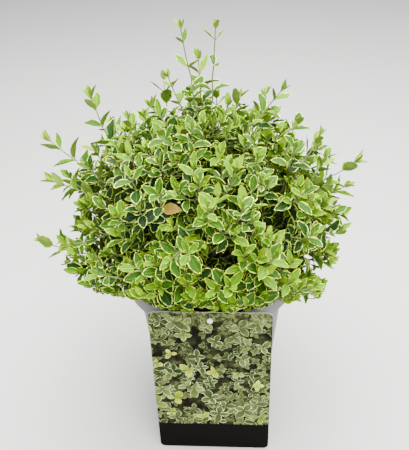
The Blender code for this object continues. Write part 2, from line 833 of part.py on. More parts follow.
def make_foliage(crown, parts):
    """All the masses: shoots spread evenly over the mound, and the leading shoots."""
    chance = random.Random(SEED)
    masses = {name: Mass(crown, name, chance) for name in crown.ways}
    for x, y, z, pairs in LEADERS:
        tip = Vector((x, y, z))
        tip -= (tip - CROWN_CENTRE).normalized() * LEADER_SHORT
        mass = masses[crown.nearest_mass(tip)]
        mass.grow_shoot(tip, pairs, LEADER_SPACING, LEADER_RISE, LEADER_POINTS)
    for way in even_directions(SHOOTS, SHOOT_LOWEST, chance):
        reach = crown_reach(way) * chance.uniform(*SHOOT_REACH)
        tip = CROWN_CENTRE + way * (reach - SHOOT_SHORT)
        tip.z = max(tip.z, skirt_level(tip) + SKIRT_ROOM)
        mass = masses[crown.nearest_mass(tip)]
        mass.grow_shoot(tip, MOUND_PAIRS, PAIR_SPACING, SHOOT_RISE, SHOOT_POINTS)
    green = make_material("leaves", LEAF_GREEN, 0.4)
    for mass in masses.values():
        mass.grow_leaves()
        make_mass(mass, parts, green)


def main():
    """Build every piece."""
    clear_scene()
    parts = make_collection("potted wintercreeper")
    cutters = make_collection("cutters")
    make_pot(parts, cutters)
    make_compost(parts, cutters)
    make_tag(parts, cutters)
    make_tag_peg(parts, cutters)
    bark = make_material("bark", BARK_GREEN, 0.7)
    crown = Crown()
    make_stem(parts, bark)
    make_boughs(crown, parts, bark)
    make_foliage(crown, parts)


main()
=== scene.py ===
"""The looks of a potted wintercreeper euonymus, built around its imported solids.

Metres, in the solids' own frame: +Z up, the tag faces -Y, and the middle of the pot's
underside is the origin. Each operator makes one piece or one group of like pieces.
"""
import math
import random
from itertools import accumulate, product

import bmesh
import bpy
import numpy as np
from bpy.props import FloatProperty, FloatVectorProperty, IntProperty, PointerProperty
from mathutils import Matrix, Vector
from mathutils.bvhtree import BVHTree
from mathutils.noise import noise


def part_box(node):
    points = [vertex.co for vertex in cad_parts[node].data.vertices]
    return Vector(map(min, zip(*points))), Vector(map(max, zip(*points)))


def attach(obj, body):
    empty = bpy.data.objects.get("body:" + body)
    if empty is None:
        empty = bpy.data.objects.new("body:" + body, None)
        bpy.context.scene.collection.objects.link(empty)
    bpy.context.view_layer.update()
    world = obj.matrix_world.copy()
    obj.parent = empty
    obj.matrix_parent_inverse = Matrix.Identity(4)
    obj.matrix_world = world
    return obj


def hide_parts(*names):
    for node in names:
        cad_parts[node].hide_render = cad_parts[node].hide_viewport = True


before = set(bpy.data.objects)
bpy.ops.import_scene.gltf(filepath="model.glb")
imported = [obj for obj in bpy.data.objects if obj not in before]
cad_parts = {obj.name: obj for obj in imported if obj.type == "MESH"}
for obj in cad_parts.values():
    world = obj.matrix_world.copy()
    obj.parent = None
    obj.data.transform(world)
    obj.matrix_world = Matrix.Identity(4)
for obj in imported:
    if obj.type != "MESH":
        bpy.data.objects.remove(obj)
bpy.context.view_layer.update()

bl_info = {
    "name": "Potted wintercreeper",
    "version": (1, 0, 0),
    "blender": (4, 5, 0),
    "location": "3D View > Sidebar > Wintercreeper",
    "description": "Makes a potted wintercreeper euonymus around its packed solids",
    "category": "Object",
}

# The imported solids
POT_LOW, POT_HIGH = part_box("pot")
COMPOST_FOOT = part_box("compost")[0].z
TAG_LOW, TAG_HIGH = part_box("tag")
STEM_FOOT, STEM_TOP = (corner.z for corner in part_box("stem"))
MASS_NODES = sorted(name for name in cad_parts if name.startswith("foliage_"))
LIMB_NODES = ["stem"] + sorted(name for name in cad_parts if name.startswith("bough_"))
GAP = 0.0003
PAST = 0.002
UP = Vector((0.0, 0.0, 1.0))

# Pot, as sizes and shares that its box doesn't give
POT_HEIGHT = POT_HIGH.z
POT_BODY_HALF = 0.0662
POT_FOOT_HALF = 0.0523
POT_CORNER_SHARE = 0.76
POT_CORNER_SEGMENTS = 12
POT_LIP_STEP = 0.0030
POT_LIP_RISE = 0.0014
POT_EDGE = 0.0005
DRAIN_HOLE_RADIUS = 0.0045
DRAIN_HOLE_OUT = 0.034
HOLE_SIDES = 32

# Compost
COMPOST_TOP = 0.161
COMPOST_CROWN = 0.004
COMPOST_EDGE = 0.0016
COARSE_LUMPS = 130.0
FINE_LUMPS = 330.0
FINE_LUMPS_SHARE = 0.6
CRUMB_SHAPE = (1.0, 0.8, 0.6)
CRUMB_UNEVEN = 0.35
CRUMB_LUMPS = 1.9
CRUMB_SPREAD = 0.97
CRUMB_SIZES = (0.5, 1.7)
CRUMB_TIP = 0.6
CRUMB_RISE = 0.3

# Tag: the hole and slit that its box doesn't give
TAG_X = (TAG_LOW.x + TAG_HIGH.x) / 2
TAG_CORNER = 0.0050
TAG_CORNER_SEGMENTS = 10
TAG_EDGE = 0.00016
TAG_HOLE_SIDES = 40
TAG_HOLE_RADIUS = 0.0018
TAG_HOLE_DROP = 0.0085
TAG_HOLE_LEVEL = TAG_HIGH.z - TAG_HOLE_DROP
TAG_SLIT_WIDTH = 0.0010
TAG_ROOM = 0.0025
PEG_HOLE_RADIUS = 0.0018

# Stem and crown, by the rule that the solids follow
STEM_RADIUS = 0.0078
STEM_TOP_RADIUS = 0.0060
CROWN_CENTRE = Vector((-0.0005, -0.0030, 0.198))
CROWN_HALF_LEFT = 0.132
CROWN_HALF_RIGHT = 0.118
CROWN_HALF_Y = 0.116
CROWN_HALF_UP = 0.126
CROWN_HALF_DOWN = 0.050
CROWN_POWER = 2.4
CROWN_RIGHT_FOOT = 0.12
CROWN_RIGHT_FOOT_RISE = 0.45
SKIRT_LEVEL = 0.1770
SKIRT_FLAT = 0.85
LEFT_SKIRT_START = 0.064
LEFT_SKIRT_SLOPE = 0.52
RIGHT_SKIRT_START = 0.071
RIGHT_SKIRT_SLOPE = -0.10
RIGHT_SKIRT_TURN = 0.103
RIGHT_SKIRT_RISE = 0.90
FRONT_SKIRT_START = 0.0785
FRONT_SKIRT_SLOPE = 1.10
FRONT_SKIRT_CORNER = 0.030
FRONT_SKIRT_BESIDE = 0.30
SKIRT_ROOM = 0.007
SKIRT_UNEVEN = (0.3, 1.0)
TOP_TILT = 88.0
TOP_TURN = 90.0
UPPER_MASSES = 5
UPPER_TILT = 43.0
UPPER_TURN = -90.0
LOWER_MASSES = 7
LOWER_TILT = -6.0
LOWER_FRONT_LIFT = 14.0
LOWER_TURN = -12.0
MASS_ENTRY = 0.050
MASS_SEED_OUT = 0.085
MASS_STEM_END = 0.088
MASS_STEM_STEPS = 4
MASS_STEM_RADIUS = 0.0019
MASS_STEM_BARE = 0.006
MASS_STEM_TOP = 0.003
BOUGH_RADIUS = 0.0024
BOUGH_TIP_RADIUS = 0.0019
BOUGH_UPPER_DROP = 0.0055
BOUGH_LOWER_DROP = 0.0150
BOUGH_OUT = 0.8
BOUGH_UP = 0.6
BOUGH_LEAVING = 0.22
BOUGH_ARRIVING = 0.30
LIMB_CLEARANCE = 0.0008

# Leading shoots: x, y and z of the furthest leaf tip, the space between pairs of leaves,
# and the size of the leaves against the others
LEADERS = (
    (-0.018, 0.001, 0.397, 0.0200, 0.80),
    (0.009, -0.001, 0.397, 0.0200, 0.80),
    (-0.031, 0.007, 0.356, 0.0150, 0.72),
    (-0.007, 0.025, 0.366, 0.0120, 1.00),
    (0.018, -0.001, 0.336, 0.0120, 0.95),
    (-0.046, 0.001, 0.334, 0.0110, 0.95),
    (-0.068, 0.003, 0.323, 0.0110, 0.95),
    (-0.097, -0.001, 0.344, 0.0150, 1.20),
    (-0.137, -0.005, 0.306, 0.0150, 1.15),
    (-0.137, -0.017, 0.272, 0.0130, 1.05),
    (-0.160, -0.013, 0.204, 0.0130, 1.10),
    (0.062, -0.001, 0.348, 0.0130, 0.90),
    (0.074, 0.001, 0.313, 0.0110, 0.95),
    (0.096, -0.001, 0.308, 0.0125, 0.90),
    (0.129, -0.003, 0.284, 0.0135, 1.25),
    (0.122, -0.008, 0.262, 0.0120, 1.15),
    (0.097, -0.005, 0.236, 0.0120, 1.00),
    (0.092, -0.072, 0.196, 0.0120, 1.00),
    (0.054, 0.111, 0.300, 0.0130, 1.00),
    (-0.048, 0.105, 0.318, 0.0130, 1.00),
    (-0.001, 0.135, 0.240, 0.0130, 1.00),
    (0.107, 0.085, 0.250, 0.0130, 1.00),
    (-0.108, 0.083, 0.258, 0.0130, 1.00),
    (0.056, -0.113, 0.262, 0.0120, 1.00),
    (-0.056, -0.115, 0.256, 0.0120, 1.00),
)
LEADER_RISE = 0.10
LEADER_SHORT = 0.007
LEADER_AGE = 0.6

# Shoots and side twigs of the mound
SHOOT_LOWEST = -0.42
SHOOT_REACH = (0.82, 1.035)
SHOOT_SPLAY = 0.9
SHOOT_LEAD = 0.012
SHOOT_BEND = 0.55
SHOOT_RISE = 0.08
SHOOT_SHORT = 0.006
SHOOT_TURN = 0.25
SHOOT_SHRINKS = (1.0, 0.9, 0.8, 0.68, 0.55)
SHOOT_AGES = (0.0, 0.5, 1.0, 1.5)
CLUMP_SCALE = 34.0
CLUMP_DEPTH = 0.9
CLUMP_UNEVEN = 0.3
WISP_SHARE = 0.16
WISP_LOWEST = 0.25
WISP_REACH = (1.02, 1.09)
INNER_REACH = (0.52, 0.74)
# Inner twigs are aged into the darkest tones: partly their real age, partly painted shade inside the mound
INNER_AGE_AND_SHADE = 3.0
MAIN_EVERY = 4
SHOOT_ROOT_POINTS = 4
TWIG_ROOT_POINTS = 2
TWIG_HOSTS = 4
TWIG_UP = 0.85
TWIG_OUT = 0.75
TWIG_LEAD = 0.012
TWIG_MIDDLE = 0.5
TWIG_START = (0.25, 0.86)
TWIG_SIZES = (0.84, 1.06)
TWIG_AGING = 0.7
TWIG_RADIUS = 0.0009
TWIG_TIP_RADIUS = 0.00045
SIDE_TWIG_SLIM = 0.8
TWIG_WAVE = 0.0009
WAVE_STEP = 0.55
LINE_POINTS = 13

# Leaves
LEAF_FACING_OUT = 0.15
LEAF_FACING_UP = 0.35
LEAF_LIFT = 0.06
LEAF_MIN_FACE = 0.15
PETIOLE = 0.0018
PETIOLE_INTO_LEAF = 1.6
PETIOLE_RADIUS = 0.00042
THIN_STALK_LEAF = 0.012
TUFT_BACK = 0.0004
PAIR_BACKS = (0.0024, 0.0072)
PAIR_SIZES = (0.44, 0.76, 0.95, 1.0)
PAIR_LEANS = ((10.0, 24.0), (30.0, 50.0), (46.0, 66.0), (54.0, 82.0))
LEADER_BACKS = (0.0012, 0.0106)
LEADER_SIZES = (0.50, 0.66, 0.96, 1.16)
LEADER_LEANS = ((2.0, 8.0), (22.0, 38.0), (40.0, 56.0), (50.0, 68.0))
BACK_FIXED, BACK_BY_SIZE = 0.6, 0.4
PAIR_TURN = 0.2
PAIR_BACK_UNEVEN = (0.85, 1.2)
SPACING_UNEVEN = (0.90, 1.10)
TONE_A_PAIR = 0.75
GROWN_TONE = 2
# The oldest tone is partly the old leaves' own colour and partly painted shade deep in the mound
OLD_SHADED_TONE = 4
TAN_TONE = 5
TAN_SHARE = 0.014
LEAVES_A_PIECE = 2300
LEAF_SIZES = (0.80, 1.12)
LEAF_FOLDS = (12.0, 32.0)
YOUNG_SLIMS, GROWN_SLIMS = (0.46, 0.60), (0.52, 0.68)
YOUNG_BENDS, GROWN_BENDS = (-0.5, 0.3), (-0.1, 0.7)
LEAFY_SHARE = 0.90
LEAF_TRIES = ((0.0, 0.0), (0.35, 0.0), (-0.35, 0.0), (0.0, -16.0), (0.7, 0.0), (-0.7, 0.0),
              (0.35, -22.0), (-0.35, -22.0), (0.0, 16.0), (1.1, -10.0), (-1.1, -10.0))
GRID_STEP = 0.018

# A leaf's shape: its cross lines as shares of its length, and half the rib's width and the
# thickness as shares of half the leaf's width
LEAF_STATIONS = (0.0, 0.09, 0.27, 0.47, 0.67, 0.84, 0.94, 1.0)
LEAF_RIB_HALF = 0.05
LEAF_THICKNESS = 0.022
LEAF_GLOSS = 0.05
LEAF_GREEN, LEAF_MARGIN, LEAF_RIB, LEAF_UNDER = range(4)

# Limbs
STEM_STATIONS = 22
STEM_TAPER = ((0.0, 0.45, 0.9, 1.0),
              (STEM_RADIUS, 0.92 * STEM_RADIUS, STEM_TOP_RADIUS, 0.6 * STEM_TOP_RADIUS))
BOUGH_STATIONS = 20
TWIG_SIDES = 5
BARK_ROUND = 2.2
BARK_ALONG = 90.0
BARK_LEVEL = 0.35
BARK_RING = 0.4
BARK_RING_EVERY = 5
BARK_RING_FIRST = 2

# Print on the tag
PRINT_WARP = 0.0035
PRINT_WARP_SCALE = 85.0
LAYER_SHIFT = 11.0
LEAF_SEED = 57.0
SPRIG_EDGE = 1.25
SPRIG_MARGIN = 1.29
DEEP_SHADE = (0.007, 0.006, 0.006)
SHADE_STOPS = ((0.42, (0.007, 0.007, 0.005)), (0.56, (0.022, 0.024, 0.011)), (0.72, (0.12, 0.13, 0.05)))
HAZE_STOPS = ((0.36, (0.018, 0.020, 0.009)), (0.50, (0.085, 0.10, 0.034)), (0.64, (0.30, 0.35, 0.12)))
FAR_GREENS = ((0.0, (0.030, 0.042, 0.016)), (0.6, (0.09, 0.12, 0.040)), (1.0, (0.19, 0.24, 0.07)))
FAR_CREAMS = ((0.35, (0.15, 0.18, 0.06)), (0.65, (0.48, 0.54, 0.22)))
NEAR_GREENS = ((0.0, (0.034, 0.058, 0.020)), (0.8, (0.14, 0.20, 0.060)), (0.91, (0.20, 0.28, 0.05)),
               (0.92, (0.44, 0.58, 0.008)))
NEAR_CREAMS = ((0.35, (0.52, 0.58, 0.22)), (0.65, (1.0, 1.0, 0.50)))
HAZE_LOW, HAZE_HIGH = TAG_HIGH.z + 0.006, TAG_HIGH.z + 0.036

# Layers of sprigs, furthest first: cells a metre, shift, leaves, greens, creams, the share
# shown at the tag's foot, and the height where it is nothing
SPRIG_LAYERS = (
    (104.0, 0.3, 4, FAR_GREENS, FAR_CREAMS, 0.64, 0.90),
    (90.0, 5.1, 4, FAR_GREENS, FAR_CREAMS, 0.50, 0.90),
    (78.0, 11.3, 3, NEAR_GREENS, NEAR_CREAMS, 0.55, 0.40),
    (66.0, 2.9, 4, NEAR_GREENS, NEAR_CREAMS, 0.52, 0.32),
    (55.0, 8.6, 3, NEAR_GREENS, NEAR_CREAMS, 0.50, 0.25),
    (46.0, 3.4, 4, NEAR_GREENS, NEAR_CREAMS, 0.46, 0.20),
)

# Stage: place and width of each lamp
KEY_LAMP = (0.05, 0.05, 1.25), 1.3
FRONT_LAMP = (0.55, -1.0, 0.9), 0.9
FLOOR_SIZE = 14.0
SKY_COLOUR = (0.93, 0.96, 1.0, 1.0)
SENSOR_WIDTH = 36.0
CLIP_START = 0.02

# Which colour inputs and output of a Mix node are meant, as others share their names
MIX_FIRST, MIX_SECOND, MIX_RESULT = 6, 7, 2


def deselect_all():
    """Leave edit mode and deselect everything, so that an operator acts on new pieces only."""
    if bpy.context.object and bpy.context.object.mode != "OBJECT":
        leave_edit()
    bpy.ops.object.select_all(action="DESELECT")


def leave_edit():
    """Go back to object mode."""
    bpy.ops.object.mode_set(mode="OBJECT")


def make_active(item):
    """Select one object alone and make it the active one."""
    deselect_all()
    item.select_set(True)
    bpy.context.view_layer.objects.active = item


def add_primitive(add, **shape):
    """Add a primitive by its operator, with nothing else selected."""
    deselect_all()
    add(**shape)
    return bpy.context.object


def edit_new(name, add, **shape):
    """Add and name a primitive, put its place into its mesh and go into edit mode."""
    item = add_primitive(add, **shape)
    item.name = name
    item.data.name = name
    bpy.ops.object.transform_apply(location=True, rotation=True, scale=True)
    bpy.ops.object.mode_set(mode="EDIT")
    return item


def select_where(item, kind, test):
    """In edit mode, select only the verts, edges or faces that pass a test."""
    bpy.ops.mesh.select_mode(type={"verts": "VERT", "edges": "EDGE", "faces": "FACE"}[kind])
    bpy.ops.mesh.select_all(action="DESELECT")
    shape = bmesh.from_edit_mesh(item.data)
    for part in getattr(shape, kind):
        if test(part):
            part.select_set(True)
    shape.select_flush_mode()
    bmesh.update_edit_mesh(item.data)


def close_shape():
    """In edit mode, turn every face outwards, and leave."""
    bpy.ops.mesh.select_all(action="SELECT")
    bpy.ops.mesh.normals_make_consistent(inside=False)
    leave_edit()


def widen(ratio, level):
    """Widen or narrow what is selected about the Z axis."""
    bpy.ops.transform.resize(value=(ratio, ratio, 1.0), center_override=(0.0, 0.0, level))


def extrude_ring(rise, ratio, level):
    """Extrude what is selected by a rise, then widen or narrow it."""
    bpy.ops.mesh.extrude_region_move(TRANSFORM_OT_translate={"value": (0.0, 0.0, rise)})
    widen(ratio, level)


def apply_modifier(item, kind, **settings):
    """Give an object a modifier and apply it."""
    modifier = item.modifiers.new(kind.lower(), kind)
    for name, value in settings.items():
        setattr(modifier, name, value)
    make_active(item)
    bpy.ops.object.modifier_apply(modifier=modifier.name)


def cut(item, add, **shape):
    """Cut a primitive out of an object."""
    cutter = add_primitive(add, **shape)
    apply_modifier(item, "BOOLEAN", operation="DIFFERENCE", object=cutter)
    bpy.data.objects.remove(cutter, do_unlink=True)


def round_edges(item, width, segments):
    """Round the sharp edges of an object."""
    apply_modifier(item, "BEVEL", width=width, segments=segments, limit_method="ANGLE",
                   angle_limit=math.radians(30.0))


def hand_over(item, nodes, smooth_degrees):
    """Shade a finished piece, hang it on the root, and hide the solids that it stands in for."""
    make_active(item)
    bpy.ops.object.shade_smooth_by_angle(angle=math.radians(smooth_degrees))
    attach(item, "root")
    if nodes:
        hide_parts(*nodes)


class Finish:
    """One material in the making, with its nodes, its shader and its pattern's coordinates."""

    def __init__(self, name, colour, roughness, gloss=0.5):
        self.material = bpy.data.materials.new(name)
        self.material.use_nodes = True
        self.tree = self.material.node_tree
        self.shader = self.tree.nodes["Principled BSDF"]
        self.feed(self.shader, {"Specular IOR Level": gloss})
        self.shade(colour, roughness)
        self.coords = self.node("TexCoord", {}).outputs["Object"]

    def feed(self, node, inputs):
        """Link a node's inputs to sockets, or give them plain values."""
        for key, value in inputs.items():
            socket = node.inputs[key]
            if isinstance(value, bpy.types.NodeSocket):
                self.tree.links.new(value, socket)
            else:
                socket.default_value = (*value, 1.0) if socket.type == "RGBA" else value

    def node(self, kind, inputs, **settings):
        """A new node with its settings and inputs."""
        node = self.tree.nodes.new("ShaderNode" + kind)
        for name, value in settings.items():
            setattr(node, name, value)
        self.feed(node, inputs)
        return node

    def shade(self, colour, roughness):
        """Give the shader its colour and roughness."""
        self.feed(self.shader, {"Base Color": colour, "Roughness": roughness})

    def cloud(self, scale, detail=3.0, rough=0.55):
        """A noise pattern from 0 to 1."""
        inputs = {"Scale": scale, "Detail": detail, "Roughness": rough, "Vector": self.coords}
        return self.node("TexNoise", inputs).outputs["Fac"]

    def ramp(self, value, *stops):
        """Colours laid along a value from 0 to 1."""
        node = self.node("ValToRGB", {"Fac": value})
        points = node.color_ramp.elements
        while len(points) < len(stops):
            points.new(0.5)
        for point, (place, colour) in zip(points, stops):
            point.position = place
            point.color = (*colour, 1.0)
        return node.outputs["Color"]

    def relief(self, height, distance):
        """Drive the shader's normal by a height pattern."""
        bump = self.node("Bump", {"Height": height, "Distance": distance, "Strength": 1.0})
        self.feed(self.shader, {"Normal": bump.outputs["Normal"]})

    def between(self, value, low, high, start=0.0, end=1.0):
        """A pattern from a start to an end, brought between two numbers."""
        inputs = {"Value": value, "From Min": start, "From Max": end, "To Min": low, "To Max": high}
        return self.node("MapRange", inputs).outputs["Result"]

    def maths(self, operation, *values):
        """One step of arithmetic on sockets or plain numbers."""
        return self.node("Math", dict(enumerate(values)), operation=operation).outputs["Value"]

    def vectors(self, operation, *values):
        """One step of vector arithmetic on sockets or plain triples."""
        node = self.node("VectorMath", dict(enumerate(values)), operation=operation)
        return node.outputs["Vector"]

    def mix(self, share, first, second):
        """Mix two colours, each a socket or a plain triple, by a share."""
        inputs = {"Factor": share, MIX_FIRST: first, MIX_SECOND: second}
        return self.node("Mix", inputs, data_type="RGBA").outputs[MIX_RESULT]


def tinted(colour, share):
    """A colour made lighter or darker."""
    return tuple(min(1.0, channel * share) for channel in colour)


def mottled(name, colour, roughness, scale, spread, relief=0.0, gloss=0.5):
    """A material whose colour and roughness wander a little, with fine relief."""
    finish = Finish(name, colour, roughness, gloss)
    pattern = finish.cloud(scale)
    mottle = finish.ramp(pattern, (0.3, tinted(colour, 1.0 - spread)), (0.7, tinted(colour, 1.0 + spread)))
    finish.shade(mottle, finish.between(pattern, roughness - 0.05, roughness + 0.05))
    if relief:
        finish.relief(finish.cloud(scale * 3.0), relief)
    return finish.material


def pot_material(colour):
    """Moulded matte plastic: faint cloudy flow, scuffs and a fine grain."""
    finish = Finish("pot plastic", colour, 0.5, 0.3)
    flow = finish.ramp(finish.cloud(22.0, 4.0), (0.25, tinted(colour, 0.9)), (0.75, tinted(colour, 1.08)))
    scuff = finish.cloud(160.0, 6.0, 0.7)
    worn = finish.ramp(scuff, (0.62, (0.0, 0.0, 0.0)), (0.78, (1.0, 1.0, 1.0)))
    scuffed = finish.mix(finish.maths("MULTIPLY", worn, 0.35), flow, tinted(colour, 1.35))
    finish.shade(scuffed, finish.between(scuff, 0.42, 0.62))
    finish.relief(finish.cloud(1400.0, 2.0), 0.00006)
    return finish.material


def compost_material():
    """Dark moist peat with paler fibres."""
    finish = Finish("compost", (0.03, 0.02, 0.014), 0.9, 0.15)
    lumps = finish.cloud(260.0, 8.0, 0.7)
    finish.shade(finish.ramp(lumps, (0.3, (0.010, 0.007, 0.005)), (0.55, (0.035, 0.022, 0.014)),
                             (0.8, (0.12, 0.075, 0.045))), 0.9)
    finish.relief(lumps, 0.0012)
    return finish.material


def bark_material(colour):
    """Green to grey young bark with fine furrows."""
    finish = Finish("bark", colour, 0.75)
    finish.shade(finish.ramp(finish.cloud(90.0, 5.0), (0.3, tinted(colour, 0.6)), (0.6, colour),
                             (0.8, tinted(colour, 1.5))), 0.75)
    finish.relief(finish.cloud(900.0, 5.0), 0.0003)
    return finish.material


def warped(finish, shift):
    """The print's coordinates pushed about by noise, so that what is laid on them isn't regular."""
    moved = finish.vectors("ADD", finish.coords, (shift, 0.0, shift))
    push = finish.node("TexNoise", {"Scale": PRINT_WARP_SCALE, "Detail": 2.0, "Vector": moved})
    push = finish.vectors("SUBTRACT", push.outputs["Color"], (0.5, 0.5, 0.5))
    push = finish.vectors("MULTIPLY", push, (PRINT_WARP, PRINT_WARP, 0.0))
    return finish.vectors("ADD", finish.coords, push)


def sprig_layer(finish, under, scale, shift, leaves, greens, creams, shown, fade):
    """Lay sprigs of a few leaves, one to a cell and turned at random, over the colour beneath.

    The share of cells that show a sprig falls from shown at the foot to nothing at fade.
    """
    maths, vectors, between = finish.maths, finish.vectors, finish.between
    place = vectors("MULTIPLY", warped(finish, shift), (scale, scale, 1.0))
    place = vectors("ADD", place, (shift * LAYER_SHIFT, 0.0, 0.0))
    cells = finish.node("TexVoronoi", {"Vector": place, "Scale": 1.0, "Randomness": 1.0},
                        voronoi_dimensions="2D").outputs
    chance = finish.node("SeparateColor", {"Color": cells["Color"]}).outputs
    axes = finish.node("SeparateXYZ", {"Vector": vectors("SUBTRACT", place, cells["Position"])}).outputs
    middle = finish.node("SeparateXYZ", {"Vector": cells["Position"]}).outputs
    angle = maths("ARCTAN2", axes["Y"], axes["X"])
    angle = maths("MULTIPLY_ADD", chance["Red"], math.tau, angle)
    fold = maths("WRAP", angle, math.pi / leaves, -math.pi / leaves)
    number = maths("ROUND", maths("DIVIDE", angle, math.tau / leaves))
    number = maths("WRAP", number, leaves - 0.5, -0.5)
    seed = finish.node("CombineXYZ", {"X": number, "Y": maths("MULTIPLY", chance["Green"], LEAF_SEED)})
    draw = finish.node("TexWhiteNoise", {"Vector": seed.outputs["Vector"]}, noise_dimensions="2D")
    own = draw.outputs["Value"]
    out = maths("MULTIPLY", cells["Distance"], between(own, 1.5, 2.3))
    along = maths("MULTIPLY", out, maths("COSINE", fold))
    across = maths("MULTIPLY", out, maths("ABSOLUTE", maths("SINE", fold)))
    width = maths("MULTIPLY", along, maths("SUBTRACT", 1.0, along))
    edge = maths("DIVIDE", across, maths("MAXIMUM", width, 0.001))
    limit = between(middle["Y"], shown, 0.0, TAG_LOW.z * scale, fade * scale)
    inside = maths("MULTIPLY", maths("LESS_THAN", edge, SPRIG_EDGE), maths("LESS_THAN", along, 1.0))
    inside = maths("MULTIPLY", inside, maths("LESS_THAN", chance["Blue"], limit))
    speck = finish.cloud(700.0, 2.0)
    margin = maths("GREATER_THAN", maths("MULTIPLY_ADD", speck, 0.5, edge), SPRIG_MARGIN)
    light = maths("MULTIPLY", between(own, 0.55, 1.25), between(along, 0.5, 1.15))
    green = vectors("MULTIPLY", finish.ramp(chance["Green"], *greens), light)
    cream = vectors("MULTIPLY", finish.ramp(speck, *creams), light)
    return finish.mix(inside, under, finish.mix(margin, green, cream))


def tag_print_material(band_top):
    """The printed face: layers of plain variegated sprigs above a plain dark band."""
    finish = Finish("tag print", (0.1, 0.14, 0.06), 0.5, 0.0)
    axes = finish.node("SeparateXYZ", {"Vector": finish.coords}).outputs
    finish.coords = finish.node("CombineXYZ", {"X": axes["X"], "Y": axes["Z"]}).outputs["Vector"]
    cloud = finish.cloud(75.0, 5.0)
    colour = finish.ramp(cloud, *SHADE_STOPS)
    for layer in SPRIG_LAYERS:
        colour = sprig_layer(finish, colour, *layer)
    haze = finish.ramp(finish.cloud(240.0, 2.0), *HAZE_STOPS)
    ragged = finish.maths("MULTIPLY_ADD", cloud, 0.06, axes["Z"])
    colour = finish.mix(finish.between(ragged, 0.0, 0.70, HAZE_LOW, HAZE_HIGH), colour, haze)
    in_band = finish.maths("LESS_THAN", axes["Z"], band_top)
    finish.shade(finish.mix(in_band, colour, DEEP_SHADE), finish.between(cloud, 0.44, 0.56))
    return finish.material


def unit(tilt, turn):
    """A unit vector from its tilt above level and its turn about +Z, in degrees."""
    up = math.radians(tilt)
    around = math.radians(turn)
    return Vector((math.cos(up) * math.cos(around), math.cos(up) * math.sin(around), math.sin(up)))


def mass_ways():
    """The way that each mass's stem runs, by the mass's name."""
    ways = {"foliage_top": unit(TOP_TILT, TOP_TURN)}
    for i in range(UPPER_MASSES):
        ways[f"foliage_upper_{i + 1}"] = unit(UPPER_TILT, UPPER_TURN + 360.0 * i / UPPER_MASSES)
    for i in range(LOWER_MASSES):
        turn = LOWER_TURN + 360.0 * i / LOWER_MASSES
        lift = LOWER_FRONT_LIFT * max(0.0, -math.sin(math.radians(turn)))
        ways[f"foliage_lower_{i + 1}"] = unit(LOWER_TILT + lift, turn)
    return ways


def crown_reach(way):
    """How far the mound reaches from its centre along a unit vector."""
    halves = (CROWN_HALF_RIGHT if way.x > 0 else CROWN_HALF_LEFT, CROWN_HALF_Y,
              CROWN_HALF_UP if way.z > 0 else CROWN_HALF_DOWN)
    total = sum(abs(part / half) ** CROWN_POWER for part, half in zip(way, halves))
    return total ** (-1.0 / CROWN_POWER)


def skirt_level(x, y):
    """The height that foliage keeps above at a place, by its side and in front of the pot."""
    out = math.hypot(x, SKIRT_FLAT * y)
    if x > 0:
        side = RIGHT_SKIRT_SLOPE * max(0.0, out - RIGHT_SKIRT_START)
        side += RIGHT_SKIRT_RISE * max(0.0, out - RIGHT_SKIRT_TURN)
    else:
        side = LEFT_SKIRT_SLOPE * max(0.0, out - LEFT_SKIRT_START)
    beside = FRONT_SKIRT_BESIDE * max(0.0, abs(x) - FRONT_SKIRT_CORNER)
    front = FRONT_SKIRT_SLOPE * (beside - y - FRONT_SKIRT_START)
    return SKIRT_LEVEL + (max(side, front) if front > 0.0 else side)


def bezier(start, middle, end):
    """Points of a twig along a quadratic curve."""
    points = []
    for i in range(LINE_POINTS):
        t = i / (LINE_POINTS - 1)
        points.append(start * (1 - t) ** 2 + middle * 2 * t * (1 - t) + end * t * t)
    return points


def wavy(points, chance, size):
    """Points with a slow sideways wander that fades at both ends."""
    phase = chance.uniform(0.0, 100.0)
    moved = []
    for i, point in enumerate(points):
        fade = math.sin(math.pi * i / (len(points) - 1))
        place = Vector((phase, i * WAVE_STEP, 0.0))
        wander = Vector((noise(place), noise(place + Vector((7.0, 0.0, 0.0))), noise(place + UP * 7.0)))
        moved.append(point + wander * size * fade)
    return moved


